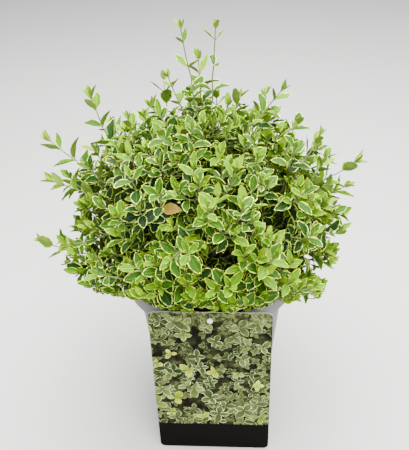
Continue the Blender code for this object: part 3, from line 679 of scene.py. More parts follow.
class Crown:
    """The boughs' lines, and the tests that keep foliage clear of limbs, pot and tag."""

    def __init__(self):
        self.ways = mass_ways()
        self.seeds = {name: CROWN_CENTRE + way * MASS_SEED_OUT for name, way in self.ways.items()}
        boughs = [self.bough_points(way, 6) for way in self.ways.values()]
        self.starts = np.array([point for points in boughs for point in points[:-1]])
        self.along = np.array([point for points in boughs for point in points[1:]]) - self.starts
        self.lengths = (self.along ** 2).sum(axis=1)

    def bough_points(self, way, count):
        """A bough's curved centre line, from beside the stem to its tip."""
        tip = CROWN_CENTRE + way * MASS_ENTRY
        if way.z > math.sin(math.radians((UPPER_TILT + TOP_TILT) / 2)):
            flat = UP
            start = Vector((0.0, 0.0, STEM_TOP + GAP))
        else:
            flat = Vector((way.x, way.y, 0.0)).normalized()
            upper = way.z > math.sin(math.radians(UPPER_TILT / 2))
            level = STEM_TOP - (BOUGH_UPPER_DROP if upper else BOUGH_LOWER_DROP)
            share = (level - STEM_FOOT) / (STEM_TOP - STEM_FOOT)
            radius = STEM_RADIUS + (STEM_TOP_RADIUS - STEM_RADIUS) * share
            start = flat * (radius + GAP) + Vector((0.0, 0.0, level))
        length = (tip - start).length
        leaving = start + (flat * BOUGH_OUT + UP * BOUGH_UP) * BOUGH_LEAVING * length
        arriving = tip - way * BOUGH_ARRIVING * length
        points = []
        for i in range(count):
            t = i / (count - 1)
            points.append(start * (1 - t) ** 3 + leaving * 3 * t * (1 - t) ** 2
                          + arriving * 3 * t * t * (1 - t) + tip * t ** 3)
        return points

    def clear(self, points, leading=False):
        """Do points keep clear of the stem, the boughs, the pot and the tag.

        A leading shoot may hang below the skirt at the sides.
        """
        for point in points:
            if point.z < (SKIRT_LEVEL if leading else skirt_level(point.x, point.y)):
                return False
            across = abs(point.x - TAG_X) < TAG_HIGH.x - TAG_X + TAG_ROOM
            if across and point.y < POT_LOW.y + TAG_ROOM and point.z < TAG_HIGH.z + TAG_ROOM:
                return False
            beside = math.hypot(point.x, point.y) < STEM_RADIUS + LIMB_CLEARANCE
            if beside and point.z < STEM_TOP + LIMB_CLEARANCE:
                return False
        spots = np.array(points)[:, None, :] - self.starts[None, :, :]
        share = (spots * self.along).sum(axis=2) / self.lengths
        nearest = np.clip(share, 0.0, 1.0)[:, :, None] * self.along
        closest = float(((spots - nearest) ** 2).sum(axis=2).min())
        return closest > (BOUGH_RADIUS + LIMB_CLEARANCE) ** 2

    def nearest_mass(self, point):
        """The mass whose space holds a point."""
        return min(self.seeds, key=lambda name: (self.seeds[name] - point).length)


class Shoot:
    """A twig's centre line with its radii, and what its leaves need."""

    def __init__(self, points, radius, tip_radius, spacing, size, age, leading=False):
        self.points = points
        self.radii = np.linspace(radius, tip_radius, len(points))
        self.spacing = spacing
        self.size = size
        self.age = age
        self.leading = leading
        self.reach = [0.0, *accumulate((b - a).length for a, b in zip(points, points[1:]))]
        self.length = self.reach[-1]

    def at(self, distance):
        """The place and the way of the line at a distance from its start."""
        distance = min(max(distance, 0.0), self.length)
        i = next(i for i, reach in enumerate(self.reach[1:]) if distance <= reach)
        share = (distance - self.reach[i]) / (self.reach[i + 1] - self.reach[i])
        here, ahead = self.points[i], self.points[i + 1]
        return here.lerp(ahead, share), (ahead - here).normalized()


class Near:
    """Shapes kept by the cell of space they are in, to find those that a leaf may touch."""

    def __init__(self):
        self.cells = {}

    def key(self, point):
        """The cell that holds a point."""
        return tuple(math.floor(part / GRID_STEP) for part in point)

    def add(self, tree, points, owner):
        """Keep a shape under every cell that its points fall in."""
        for key in {self.key(point) for point in points}:
            self.cells.setdefault(key, []).append((owner, tree))

    def touches(self, tree, point, owner):
        """Does a shape touch any kept one near a point, other than its owner's."""
        for cell in product(*((part - 1, part, part + 1) for part in self.key(point))):
            for other_owner, other in self.cells.get(cell, ()):
                if other_owner != owner and tree.overlap(other):
                    return True
        return False


def tube(points, radii, sides, relief=None):
    """Vertices and faces of a closed tube along points, with round-the-limb relief if given."""
    spots = np.array(points)
    ways = np.gradient(spots, axis=0)
    ways /= np.linalg.norm(ways, axis=1)[:, None]
    side = np.array(Vector(ways[0]).orthogonal().normalized())
    angles = np.arange(sides) * math.tau / sides
    rings = []
    for i, way in enumerate(ways):
        side = side - way * side.dot(way)
        side /= np.linalg.norm(side)
        cross = np.cross(way, side)
        radius = np.full(sides, radii[i])
        if relief is not None:
            radius = radius * (1.0 + relief[i])
        rings.append(spots[i] + radius[:, None] * (np.cos(angles)[:, None] * side
                                                   + np.sin(angles)[:, None] * cross))
    faces = []
    for i in range(0, (len(rings) - 1) * sides, sides):
        for k in range(sides):
            n = (k + 1) % sides
            faces.append((i + k, i + n, i + sides + n, i + sides + k))
    last = (len(rings) - 1) * sides
    faces.append(tuple(range(sides - 1, -1, -1)))
    faces.append(tuple(range(last, last + sides)))
    return np.concatenate(rings), faces


class Joined:
    """Many small shapes gathered into one mesh, as rows of arrays."""

    def __init__(self):
        self.verts, self.loops, self.sizes, self.kinds = [], [], [], []
        self.count = 0

    def add(self, verts, faces):
        """Add one shape, given as vertices and faces."""
        self.verts.append(verts)
        self.loops.append(np.concatenate(faces) + self.count)
        self.sizes.append([len(face) for face in faces])
        self.kinds.append(np.zeros(len(faces)))
        self.count += len(verts)

    def add_copies(self, pattern, placed, kind):
        """Add copies of a pattern whose vertices are already placed, one row to a copy."""
        copies, corners = placed.shape[:2]
        starts = self.count + np.arange(copies) * corners
        self.verts.append(placed.reshape(-1, 3))
        self.loops.append((pattern.loops[None, :] + starts[:, None]).ravel())
        self.sizes.append(np.tile(pattern.sizes, copies))
        self.kinds.append(np.tile(pattern.kinds + kind, copies))
        self.count += copies * corners

    def make(self, name, materials):
        """The mesh object of all that was added."""
        verts = np.concatenate(self.verts).astype(np.float32)
        loops, sizes, kinds = (np.concatenate(rows).astype(np.int32)
                               for rows in (self.loops, self.sizes, self.kinds))
        mesh = bpy.data.meshes.new(name)
        mesh.vertices.add(len(verts))
        mesh.vertices.foreach_set("co", verts.ravel())
        mesh.loops.add(len(loops))
        mesh.loops.foreach_set("vertex_index", loops)
        mesh.polygons.add(len(sizes))
        mesh.polygons.foreach_set("loop_start", (np.cumsum(sizes) - sizes).astype(np.int32))
        for material in materials:
            mesh.materials.append(material)
        mesh.polygons.foreach_set("material_index", kinds)
        mesh.update(calc_edges=True)
        mesh.validate()
        item = bpy.data.objects.new(name, mesh)
        bpy.context.scene.collection.objects.link(item)
        return item


class Pattern:
    """A small modelled mesh read into arrays, ready to be copied many times."""

    def __init__(self, item):
        mesh = item.data
        self.verts = np.array([vert.co for vert in mesh.vertices])
        self.loops = np.array([loop.vertex_index for loop in mesh.loops])
        self.sizes = np.array([len(face.vertices) for face in mesh.polygons])
        self.kinds = np.array([face.material_index for face in mesh.polygons])
        bpy.data.objects.remove(item, do_unlink=True)


def leaf_half_width(t, base_power, tip_power):
    """Half a leaf's width at a share of its length, 1 at its widest."""
    if t <= 0.0 or t >= 1.0:
        return 0.0
    widest = base_power / (base_power + tip_power)
    peak = widest ** base_power * (1.0 - widest) ** tip_power
    return t ** base_power * (1.0 - t) ** tip_power / peak


def model_leaf(name, base_power, tip_power, margin, wander, wave):
    """Model one leaf of length 1 and half width 1, with margin, rib and underside.

    A grid gives the upper side in five rows: margin, green, rib, green, margin. A second
    grid gives the underside. Both ends are merged to a point and the outlines are welded.
    """
    segments = len(LEAF_STATIONS) - 1

    def upper_lines(column, row):
        """Shares of the half width where the upper side's six lines lie."""
        wobble = wander * noise(Vector((column * 1.7, row * 3.1, margin * 90.0)))
        return (-1.0, -(margin + wobble), -LEAF_RIB_HALF, LEAF_RIB_HALF, margin + wobble, 1.0)

    def upper_kind(middle):
        """Which kind of face the upper side has at a place of the grid."""
        if abs(middle.y) > 0.6 or middle.x > 1.0 - 2.0 / segments:
            return LEAF_MARGIN
        return LEAF_RIB if abs(middle.y) < 0.2 else LEAF_GREEN

    def lay(rows, lines, kind, thickness):
        """Carry the selected grid to its place on the leaf and say its kinds of face."""
        shape = bmesh.from_edit_mesh(item.data)
        for face in shape.faces:
            if face.select:
                face.material_index = kind(face.calc_center_median())
        for vert in shape.verts:
            if not vert.select:
                continue
            column = round((vert.co.x + 1.0) / 2.0 * segments)
            row = round((vert.co.y + 1.0) / 2.0 * rows)
            share = lines(column, row)[row]
            half = leaf_half_width(LEAF_STATIONS[column], base_power, tip_power)
            ripple = wave * math.sin(column * 2.1 + (1.0 if share > 0.0 else 0.0)) * abs(share) ** 2
            sunk = thickness * half if share == 0.0 else 0.0
            vert.co = (LEAF_STATIONS[column], half * share, ripple * half - sunk)
        bmesh.update_edit_mesh(item.data)

    item = edit_new(name, bpy.ops.mesh.primitive_grid_add, x_subdivisions=segments, y_subdivisions=5,
                    size=2.0)
    lay(5, upper_lines, upper_kind, 0.0)
    bpy.ops.mesh.select_all(action="DESELECT")
    bpy.ops.mesh.primitive_grid_add(x_subdivisions=segments, y_subdivisions=2, size=2.0)
    lay(2, lambda column, row: (-1.0, 0.0, 1.0), lambda middle: LEAF_UNDER, LEAF_THICKNESS)
    bpy.ops.mesh.select_all(action="SELECT")
    bpy.ops.mesh.remove_doubles(threshold=0.0001)
    close_shape()
    return Pattern(item)


def model_petiole():
    """Model a leaf stalk of length 1 and radius 1, as a three-sided prism along X."""
    item = edit_new("petiole pattern", bpy.ops.mesh.primitive_cylinder_add, vertices=3, radius=1.0,
                    depth=1.0, location=(0.5, 0.0, 0.0), rotation=(0.0, math.radians(90.0), 0.0))
    leave_edit()
    return Pattern(item)


def model_crumb():
    """Model one crumb of compost from a low round shape, flattened and made uneven."""
    item = edit_new("crumb pattern", bpy.ops.mesh.primitive_ico_sphere_add, subdivisions=1, radius=1.0)
    bpy.ops.transform.resize(value=CRUMB_SHAPE)
    shape = bmesh.from_edit_mesh(item.data)
    for vert in shape.verts:
        vert.co *= 1.0 + CRUMB_UNEVEN * noise(vert.co * CRUMB_LUMPS)
    bmesh.update_edit_mesh(item.data)
    leave_edit()
    return Pattern(item)


class Leaf:
    """Where one leaf is, how it is turned and shaped, and which tone it has."""

    def __init__(self, base, way, face, length, stalk, tone, chance):
        self.base = base
        self.way = way
        self.face = face
        self.length = length
        self.stalk = stalk
        self.tone = tone
        young = tone < GROWN_TONE
        self.slim = chance.uniform(*(YOUNG_SLIMS if young else GROWN_SLIMS))
        self.fold = math.radians(chance.uniform(*LEAF_FOLDS))
        self.bend = chance.uniform(*(YOUNG_BENDS if young else GROWN_BENDS))
        self.shape = chance.randrange(4)


def place_leaves(pattern, leaves, bend_all):
    """Bend and fold a leaf pattern for every leaf and carry it to its place."""
    base, way, face, length, slim, fold, bend = (
        np.array([getattr(leaf, name) for leaf in leaves])[:, None]
        for name in ("base", "way", "face", "length", "slim", "fold", "bend"))
    side = np.cross(face, way)
    half = length * slim / 2.0
    bend = bend * bend_all
    bend = np.where(np.abs(bend) < 1e-3, 1e-3, bend)
    across = pattern.verts[None, :, 1] * half
    z = pattern.verts[None, :, 2] * half + np.abs(across) * np.sin(fold)
    across = across * np.cos(fold)
    turn = bend * pattern.verts[None, :, 0]
    ahead = np.sin(turn) / bend * length + z * np.sin(turn)
    above = z * np.cos(turn) - (1.0 - np.cos(turn)) / bend * length
    return base + way * ahead[..., None] + side * across[..., None] + face * above[..., None]


def leaf_probe(base, way, face, length):
    """Four corners of a leaf, for the tests, with its tip a little lowered."""
    side = face.cross(way) * (length * 0.30)
    middle = base + way * (length * 0.52) + face * (length * 0.04)
    return (base + way * (length * 0.08), middle + side, base + way * length - face * (length * 0.10),
            middle - side)


class Growth:
    """Grows the twigs and leaves of all the masses, each one fitted among the others."""

    def __init__(self, settings):
        self.settings = settings
        self.crown = Crown()
        self.chance = random.Random(settings.seed)
        self.near = Near()
        self.shoots = []
        self.leaves = []
        self.stems = {}

    def grow(self):
        """Mass stems, leading shoots, main shoots, side twigs, and then all leaves."""
        for name, way in self.crown.ways.items():
            start = CROWN_CENTRE + way * (MASS_ENTRY + GAP)
            end = CROWN_CENTRE + way * MASS_STEM_END
            self.stems[name] = (start, end, way)
            line = [start.lerp(end, i / MASS_STEM_STEPS) for i in range(MASS_STEM_STEPS + 1)]
            self.add_shoot(Shoot(line, MASS_STEM_RADIUS, TWIG_RADIUS, 0.0, 0.0, 0.0))
        bare = len(self.shoots)
        for x, y, z, spacing, size in LEADERS:
            tip = Vector((x, y, z))
            tip -= (tip - CROWN_CENTRE).normalized() * LEADER_SHORT * size
            self.main_shoot(tip, LEADER_RISE, spacing, size, LEADER_AGE, leading=True)
        tips = self.spread_tips(self.settings.tips, self.outer_reach)
        mains = []
        for tip in tips[::MAIN_EVERY]:
            age = self.chance.choice(SHOOT_AGES)
            shoot = self.main_shoot(tip, SHOOT_RISE, self.settings.spacing, 1.0, age)
            if shoot:
                mains.append(shoot)
        for i, tip in enumerate(tips):
            if i % MAIN_EVERY:
                self.side_twig(tip, mains, 0.0)
        # Old twigs inside the mound; their darker tones are partly painted shade
        for tip in self.spread_tips(self.settings.inner_tips, self.inner_reach):
            self.side_twig(tip, mains, INNER_AGE_AND_SHADE)
        for shoot in self.shoots[bare:]:
            self.leaf_shoot(shoot)

    def outer_reach(self, way):
        """The share of the mound's reach that a shoot has: shallow clumps, and a few wisps."""
        if self.chance.random() < WISP_SHARE and way.z > WISP_LOWEST:
            return self.chance.uniform(*WISP_REACH)
        low, high = SHOOT_REACH
        level = max(0.0, 1.0 - abs(way.z) / CROWN_RIGHT_FOOT_RISE)
        low -= CROWN_RIGHT_FOOT * max(0.0, way.x) * level
        clump = 0.5 + CLUMP_DEPTH * noise(way * crown_reach(way) * CLUMP_SCALE)
        clump += self.chance.uniform(-CLUMP_UNEVEN, CLUMP_UNEVEN)
        return low + (high - low) * min(1.0, max(0.0, clump))

    def inner_reach(self, way):
        """The share of the mound's reach for the old leafy twigs inside."""
        return self.chance.uniform(*INNER_REACH)

    def spread_tips(self, count, reach_share):
        """Tips spread evenly over the mound by the golden angle, a little uneven."""
        golden = math.pi * (3.0 - math.sqrt(5.0))
        tips = []
        for i in range(count):
            rise = 1.0 - (1.0 - SHOOT_LOWEST) * (i + 0.5) / count
            turn = golden * i + self.chance.uniform(-SHOOT_TURN, SHOOT_TURN)
            flat = math.sqrt(max(0.0, 1.0 - rise * rise))
            way = Vector((flat * math.cos(turn), flat * math.sin(turn), rise))
            tip = CROWN_CENTRE + way * (crown_reach(way) * reach_share(way) - SHOOT_SHORT)
            room = SKIRT_ROOM * self.chance.uniform(*SKIRT_UNEVEN)
            tip.z = max(tip.z, skirt_level(tip.x, tip.y) + room)
            tips.append(tip)
        return tips

    def add_shoot(self, shoot):
        """Keep a shoot, and its shape for the tests."""
        verts, faces = tube(shoot.points, shoot.radii, 3)
        shoot.number = len(self.shoots)
        tree = BVHTree.FromPolygons([tuple(vert) for vert in verts], faces)
        self.near.add(tree, shoot.points, shoot.number)
        self.shoots.append(shoot)
        return shoot

    def main_shoot(self, tip, rise, spacing, size, age, leading=False):
        """A shoot that leaves its mass's stem outwards and turns up, drawn back until it fits."""
        start, end, way = self.stems[self.crown.nearest_mass(tip)]
        along = (tip - start).dot(way)
        aside = ((tip - start) - way * along).length
        highest = (end - start).length - MASS_STEM_TOP
        root = start + way * max(MASS_STEM_BARE, min(highest, along - SHOOT_SPLAY * aside - SHOOT_LEAD))
        for shrink in SHOOT_SHRINKS:
            drawn = root.lerp(tip, shrink)
            middle = root.lerp(drawn, SHOOT_BEND)
            middle.z -= rise * (drawn - root).length
            line = wavy(bezier(root, middle, drawn), self.chance, TWIG_WAVE * 2.0)
            if self.crown.clear(line[SHOOT_ROOT_POINTS:], leading):
                return self.add_shoot(Shoot(line, TWIG_RADIUS, TWIG_TIP_RADIUS, spacing, size, age,
                                            leading))
        return None

    def side_twig(self, tip, mains, older):
        """A twig that leaves a main shoot nearby and turns up and outwards to its tip."""
        near = sorted(mains, key=lambda shoot: (shoot.points[-1] - tip).length)[:TWIG_HOSTS]
        ending = (tip - CROWN_CENTRE).normalized() * TWIG_OUT + UP * TWIG_UP
        ending.normalize()
        lowest, highest = TWIG_START
        for main in near:
            apart = (main.points[-1] - tip).length + TWIG_LEAD
            share = min(highest, max(lowest, 1.0 - apart / main.length))
            place = main.at(main.length * share)[0]
            middle = tip - ending * (tip - place).length * TWIG_MIDDLE
            line = wavy(bezier(place, middle, tip), self.chance, TWIG_WAVE)
            if self.crown.clear(line[TWIG_ROOT_POINTS:]):
                age = max(0.0, main.age + older + self.chance.uniform(-TWIG_AGING, TWIG_AGING))
                size = self.chance.uniform(*TWIG_SIZES)
                self.add_shoot(Shoot(line, TWIG_RADIUS * SIDE_TWIG_SLIM, TWIG_TIP_RADIUS,
                                     self.settings.spacing, size, age))
                return

    def leaf_shoot(self, shoot):
        """Opposite leaves down a shoot, each pair turned a quarter from the one above."""
        backs, sizes, leans = PAIR_BACKS, PAIR_SIZES, PAIR_LEANS
        if shoot.leading:
            backs, sizes, leans = LEADER_BACKS, LEADER_SIZES, LEADER_LEANS
        turn = self.chance.uniform(0.0, math.pi)
        back = TUFT_BACK
        pair = 0
        while back < shoot.length * LEAFY_SHARE:
            place, along = shoot.at(shoot.length - back)
            kind = min(pair, len(sizes) - 1)
            mates = []
            for half in range(2):
                size = self.settings.leaf_length * sizes[kind] * shoot.size
                size *= self.chance.uniform(*LEAF_SIZES)
                lean = self.chance.uniform(*leans[kind])
                leaf = self.grow_leaf(place, along, turn + math.pi * half, lean, size, shoot, pair)
                if leaf:
                    mates.append(leaf)
            for leaf, tree, middle in mates:
                self.near.add(tree, [middle], None)
                self.leaves.append(leaf)
            turn += math.pi / 2 + self.chance.uniform(-PAIR_TURN, PAIR_TURN)
            if pair < len(backs):
                scale = BACK_FIXED + BACK_BY_SIZE * shoot.size
                back = backs[pair] * scale * self.chance.uniform(*PAIR_BACK_UNEVEN)
            else:
                back += shoot.spacing * self.chance.uniform(*SPACING_UNEVEN)
            pair += 1

    def tone_of(self, shoot, pair):
        """The tone of a pair of leaves: darker further down a shoot and on an older one, the darkest tone
        partly painted shade.
        """
        grown = pair - 1 if shoot.leading else pair
        tone = int(grown * TONE_A_PAIR + shoot.age + self.chance.uniform(-0.5, 0.5))
        tone = min(OLD_SHADED_TONE, max(0, tone))
        return TAN_TONE if tone > GROWN_TONE and self.chance.random() < TAN_SHARE else tone

    def grow_leaf(self, place, along, turn, lean, size, shoot, pair):
        """One leaf, turned and leaned a little until it fits, or left out."""
        sideways = along.orthogonal().normalized()
        outward = (place - CROWN_CENTRE).normalized()
        for shift, more in LEAF_TRIES:
            out = Matrix.Rotation(turn + shift, 3, along) @ sideways
            angle = math.radians(lean + more)
            way = (along * math.cos(angle) + out * math.sin(angle) + UP * LEAF_LIFT).normalized()
            face = outward * LEAF_FACING_OUT + along + UP * LEAF_FACING_UP
            face = face - way * face.dot(way)
            if face.length < LEAF_MIN_FACE:
                face = way.orthogonal()
            face.normalize()
            stalk = PETIOLE * min(1.0, size / self.settings.leaf_length)
            base = place + way * stalk
            probe = leaf_probe(base, way, face, size)
            if not self.crown.clear(probe, shoot.leading):
                continue
            tree = BVHTree.FromPolygons(probe, ((0, 1, 2), (0, 2, 3)))
            middle = base + way * (size / 2)
            if self.near.touches(tree, middle, shoot.number):
                continue
            leaf = Leaf(base, way, face, size, stalk, self.tone_of(shoot, pair), self.chance)
            return leaf, tree, middle
        return None


class PotSettings(bpy.types.PropertyGroup):
    """Sizes and colour of the pot."""

    wall: FloatProperty(name="Wall", description="Thickness of the wall", default=0.0018, unit="LENGTH")
    lip_height: FloatProperty(name="Lip height", description="Height of the lip", default=0.012,
                              unit="LENGTH")
    floor: FloatProperty(name="Floor", description="Thickness of the floor", default=0.0025, unit="LENGTH")
    colour: FloatVectorProperty(name="Colour", description="Colour of the plastic", size=3,
                                default=(0.132, 0.132, 0.136), subtype="COLOR")


class CompostSettings(bpy.types.PropertyGroup):
    """Relief and crumbs of the compost."""

    cells: IntProperty(name="Cells", description="Cells of the surface each way", default=72)
    relief: FloatProperty(name="Relief", description="Height of the lumps", default=0.0016, unit="LENGTH")
    crumbs: IntProperty(name="Crumbs", description="Loose crumbs on top", default=620)
    crumb_size: FloatProperty(name="Crumb size", description="Radius of a middling crumb",
                              default=0.0013, unit="LENGTH")


class TagSettings(bpy.types.PropertyGroup):
    """Finish of the tag and its peg."""

    band: FloatProperty(name="Band", description="Height of the plain dark band",
                        default=0.034, unit="LENGTH")
    card: FloatVectorProperty(name="Card", description="Colour of the card's edge and back",
                              size=3, default=(0.74, 0.75, 0.72), subtype="COLOR")
    peg: FloatVectorProperty(name="Peg", description="Colour of the peg", size=3,
                             default=(0.90, 0.88, 0.80), subtype="COLOR")


class LimbSettings(bpy.types.PropertyGroup):
    """Relief and colour of the stem, boughs and twigs."""

    sides: IntProperty(name="Sides", description="Sides of the stem and boughs", default=12)
    relief: FloatProperty(name="Relief", description="Depth of the bark as a share of the radius",
                          default=0.10)
    bark: FloatVectorProperty(name="Bark", description="Colour of the old bark", size=3,
                              default=(0.15, 0.13, 0.08), subtype="COLOR")
    twig: FloatVectorProperty(name="Twig", description="Colour of the green twigs", size=3,
                              default=(0.12, 0.15, 0.05), subtype="COLOR")


class LeafSettings(bpy.types.PropertyGroup):
    """Number, size and tones of the leaves."""

    tips: IntProperty(name="Tips", description="Shoot tips over the mound", default=480)
    inner_tips: IntProperty(name="Inner tips", description="Old twigs inside the mound", default=230)
    spacing: FloatProperty(name="Spacing", description="Length of twig between pairs",
                           default=0.0100, unit="LENGTH")
    leaf_length: FloatProperty(name="Leaf length", description="Length of a grown leaf",
                               default=0.0155, unit="LENGTH")
    bend: FloatProperty(name="Bend", description="How far leaves bend back", default=1.0)
    seed: IntProperty(name="Seed", description="Start of the random draws", default=7)
    fresh: FloatVectorProperty(name="Fresh", description="Youngest leaves", size=3,
                               default=(0.165, 0.300, 0.000), subtype="COLOR")
    spring: FloatVectorProperty(name="Spring", description="Young leaves", size=3,
                                default=(0.070, 0.180, 0.002), subtype="COLOR")
    middle: FloatVectorProperty(name="Middle", description="Grown leaves", size=3,
                                default=(0.026, 0.080, 0.005), subtype="COLOR")
    deep: FloatVectorProperty(name="Deep", description="Older leaves", size=3,
                              default=(0.010, 0.034, 0.005), subtype="COLOR")
    # The darkest tone: partly the oldest leaves' own colour, partly painted shade
    dark: FloatVectorProperty(name="Dark", description="Oldest leaves", size=3,
                              default=(0.005, 0.015, 0.004), subtype="COLOR")
    cream: FloatVectorProperty(name="Cream", description="Margins of grown leaves", size=3,
                               default=(0.76, 0.97, 0.10), subtype="COLOR")
    lemon: FloatVectorProperty(name="Lemon", description="Margins of young leaves", size=3,
                               default=(0.60, 0.78, 0.012), subtype="COLOR")


class StageSettings(bpy.types.PropertyGroup):
    """Floor, light and camera."""

    floor: FloatVectorProperty(name="Floor", description="Colour of the floor", size=3,
                               default=(0.470, 0.470, 0.452), subtype="COLOR")
    sky: FloatProperty(name="Sky", description="Strength of the even light", default=0.86)
    key: FloatProperty(name="Key", description="Power of the large lamp above", default=118.0, unit="POWER")
    fill: FloatProperty(name="Fill", description="Power of the lamp in front", default=26.0, unit="POWER")
    camera_x: FloatProperty(name="Camera X", description="Camera to the right", default=0.0305,
                            unit="LENGTH")
    camera_y: FloatProperty(name="Camera Y", description="Camera back", default=-0.4824, unit="LENGTH")
    camera_z: FloatProperty(name="Camera Z", description="Camera up", default=0.5365, unit="LENGTH")
    pitch: FloatProperty(name="Pitch", description="How far the camera looks down",
                         default=math.radians(33.69), subtype="ANGLE")
    heading: FloatProperty(name="Heading", description="How far it turns to the left",
                           default=math.radians(4.19), subtype="ANGLE")
    roll: FloatProperty(name="Roll", description="How far it is tipped",
                        default=math.radians(-2.04), subtype="ANGLE")
    lens: FloatProperty(name="Lens", description="Focal length in millimetres, on a 36 mm side",
                        default=51.57)


GROUPS = {
    "wintercreeper_pot": PotSettings,
    "wintercreeper_compost": CompostSettings,
    "wintercreeper_tag": TagSettings,
    "wintercreeper_limbs": LimbSettings,
    "wintercreeper_leaves": LeafSettings,
    "wintercreeper_stage": StageSettings,
}


class WINTERCREEPER_OT_stage(bpy.types.Operator):
    """Lay the floor, hang the lamps and set the camera"""

    bl_idname = "wintercreeper.stage"
    bl_label = "Stage"

    def execute(self, context):
        settings = context.scene.wintercreeper_stage
        item = edit_new("floor", bpy.ops.mesh.primitive_plane_add, size=FLOOR_SIZE)
        leave_edit()
        item.data.materials.append(mottled("floor", settings.floor, 0.7, 2.5, 0.015))
        self.add_lamp("key lamp", settings.key, *KEY_LAMP)
        self.add_lamp("front lamp", settings.fill, *FRONT_LAMP)
        world = bpy.data.worlds.new("studio")
        world.use_nodes = True
        sky = world.node_tree.nodes["Background"]
        sky.inputs["Color"].default_value = SKY_COLOUR
        sky.inputs["Strength"].default_value = settings.sky
        context.scene.world = world
        self.add_camera(context, settings)
        return {"FINISHED"}

    def add_lamp(self, name, power, place, size):
        """A square area lamp that faces the middle of the plant."""
        deselect_all()
        aim = (CROWN_CENTRE - Vector(place)).to_track_quat("-Z", "Y").to_euler()
        bpy.ops.object.light_add(type="AREA", location=place, rotation=aim)
        lamp = bpy.context.object
        lamp.name = name
        lamp.data.size = size
        lamp.data.energy = power

    def add_camera(self, context, settings):
        """The camera at the photograph's viewing angle."""
        pitch, heading, roll = settings.pitch, settings.heading, settings.roll
        ahead = Vector((-math.sin(heading) * math.cos(pitch), math.cos(heading) * math.cos(pitch),
                        -math.sin(pitch)))
        level = Vector((math.cos(heading), math.sin(heading), 0.0))
        above = level.cross(ahead)
        right = level * math.cos(roll) + above * math.sin(roll)
        up = above * math.cos(roll) - level * math.sin(roll)
        turn = Matrix((right, up, -ahead)).transposed().to_euler()
        deselect_all()
        bpy.ops.object.camera_add(location=(settings.camera_x, settings.camera_y, settings.camera_z),
                                  rotation=turn)
        camera = context.object
        camera.name = "camera"
        camera.data.sensor_width = SENSOR_WIDTH
        camera.data.lens = settings.lens
        camera.data.clip_start = CLIP_START
        context.scene.camera = camera


class WINTERCREEPER_OT_pot(bpy.types.Operator):
    """Model the rounded square pot by extruding one ring after another"""

    bl_idname = "wintercreeper.pot"
    bl_label = "Pot"

    def execute(self, context):
        settings = context.scene.wintercreeper_pot
        lip_half = POT_HIGH.x
        lip_level = POT_HEIGHT - settings.lip_height
        body_top = lip_level - POT_LIP_STEP
        item = edit_new("pot_shell", bpy.ops.mesh.primitive_cube_add, size=1.0,
                        location=(0.0, 0.0, body_top / 2),
                        scale=(2 * POT_FOOT_HALF, 2 * POT_FOOT_HALF, body_top))
        select_where(item, "edges", lambda e: abs(e.verts[0].co.z - e.verts[1].co.z) > PAST)
        bpy.ops.mesh.bevel(offset=POT_FOOT_HALF * POT_CORNER_SHARE, segments=POT_CORNER_SEGMENTS,
                           affect="EDGES", clamp_overlap=False)
        select_where(item, "faces", lambda f: f.normal.z > 0.9)
        widen(POT_BODY_HALF / POT_FOOT_HALF, body_top)
        half, level = POT_BODY_HALF, body_top
        for new_half, new_level in ((lip_half, lip_level), (lip_half, POT_HEIGHT),
                                    (lip_half - settings.wall, POT_HEIGHT),
                                    (lip_half - settings.wall, lip_level + POT_LIP_RISE),
                                    (POT_BODY_HALF - settings.wall, body_top + POT_LIP_RISE),
                                    (POT_FOOT_HALF - settings.wall, settings.floor)):
            extrude_ring(new_level - level, new_half / half, new_level)
            half, level = new_half, new_level
        leave_edit()
        for quarter in range(4):
            angle = math.radians(45.0 + 90.0 * quarter)
            cut(item, bpy.ops.mesh.primitive_cylinder_add, vertices=HOLE_SIDES,
                radius=DRAIN_HOLE_RADIUS, depth=2 * (settings.floor + PAST),
                location=(DRAIN_HOLE_OUT * math.cos(angle), DRAIN_HOLE_OUT * math.sin(angle), 0.0))
        cut(item, bpy.ops.mesh.primitive_cylinder_add, vertices=HOLE_SIDES, radius=PEG_HOLE_RADIUS,
            depth=4 * PAST + POT_LIP_STEP, location=(TAG_X, POT_LOW.y + PAST, TAG_HOLE_LEVEL),
            rotation=(math.radians(90.0), 0.0, 0.0))
        round_edges(item, POT_EDGE, 3)
        item.data.materials.append(pot_material(settings.colour))
        hand_over(item, ["pot"], 40.0)
        return {"FINISHED"}


def rounded_place(x, y, half):
    """Carry a point of the square from -1 to 1 into a rounded square, and say its ring."""
    ring = max(abs(x), abs(y))
    if ring < 1e-6:
        return 0.0, 0.0, 0.0
    corner = half * POT_CORNER_SHARE
    edge = Vector((x, y)) / ring * half
    core = Vector((max(-half + corner, min(half - corner, edge.x)),
                   max(-half + corner, min(half - corner, edge.y))))
    away = edge - core
    rim = core + away * (corner / max(away.length, 1e-9))
    return rim.x * ring, rim.y * ring, ring


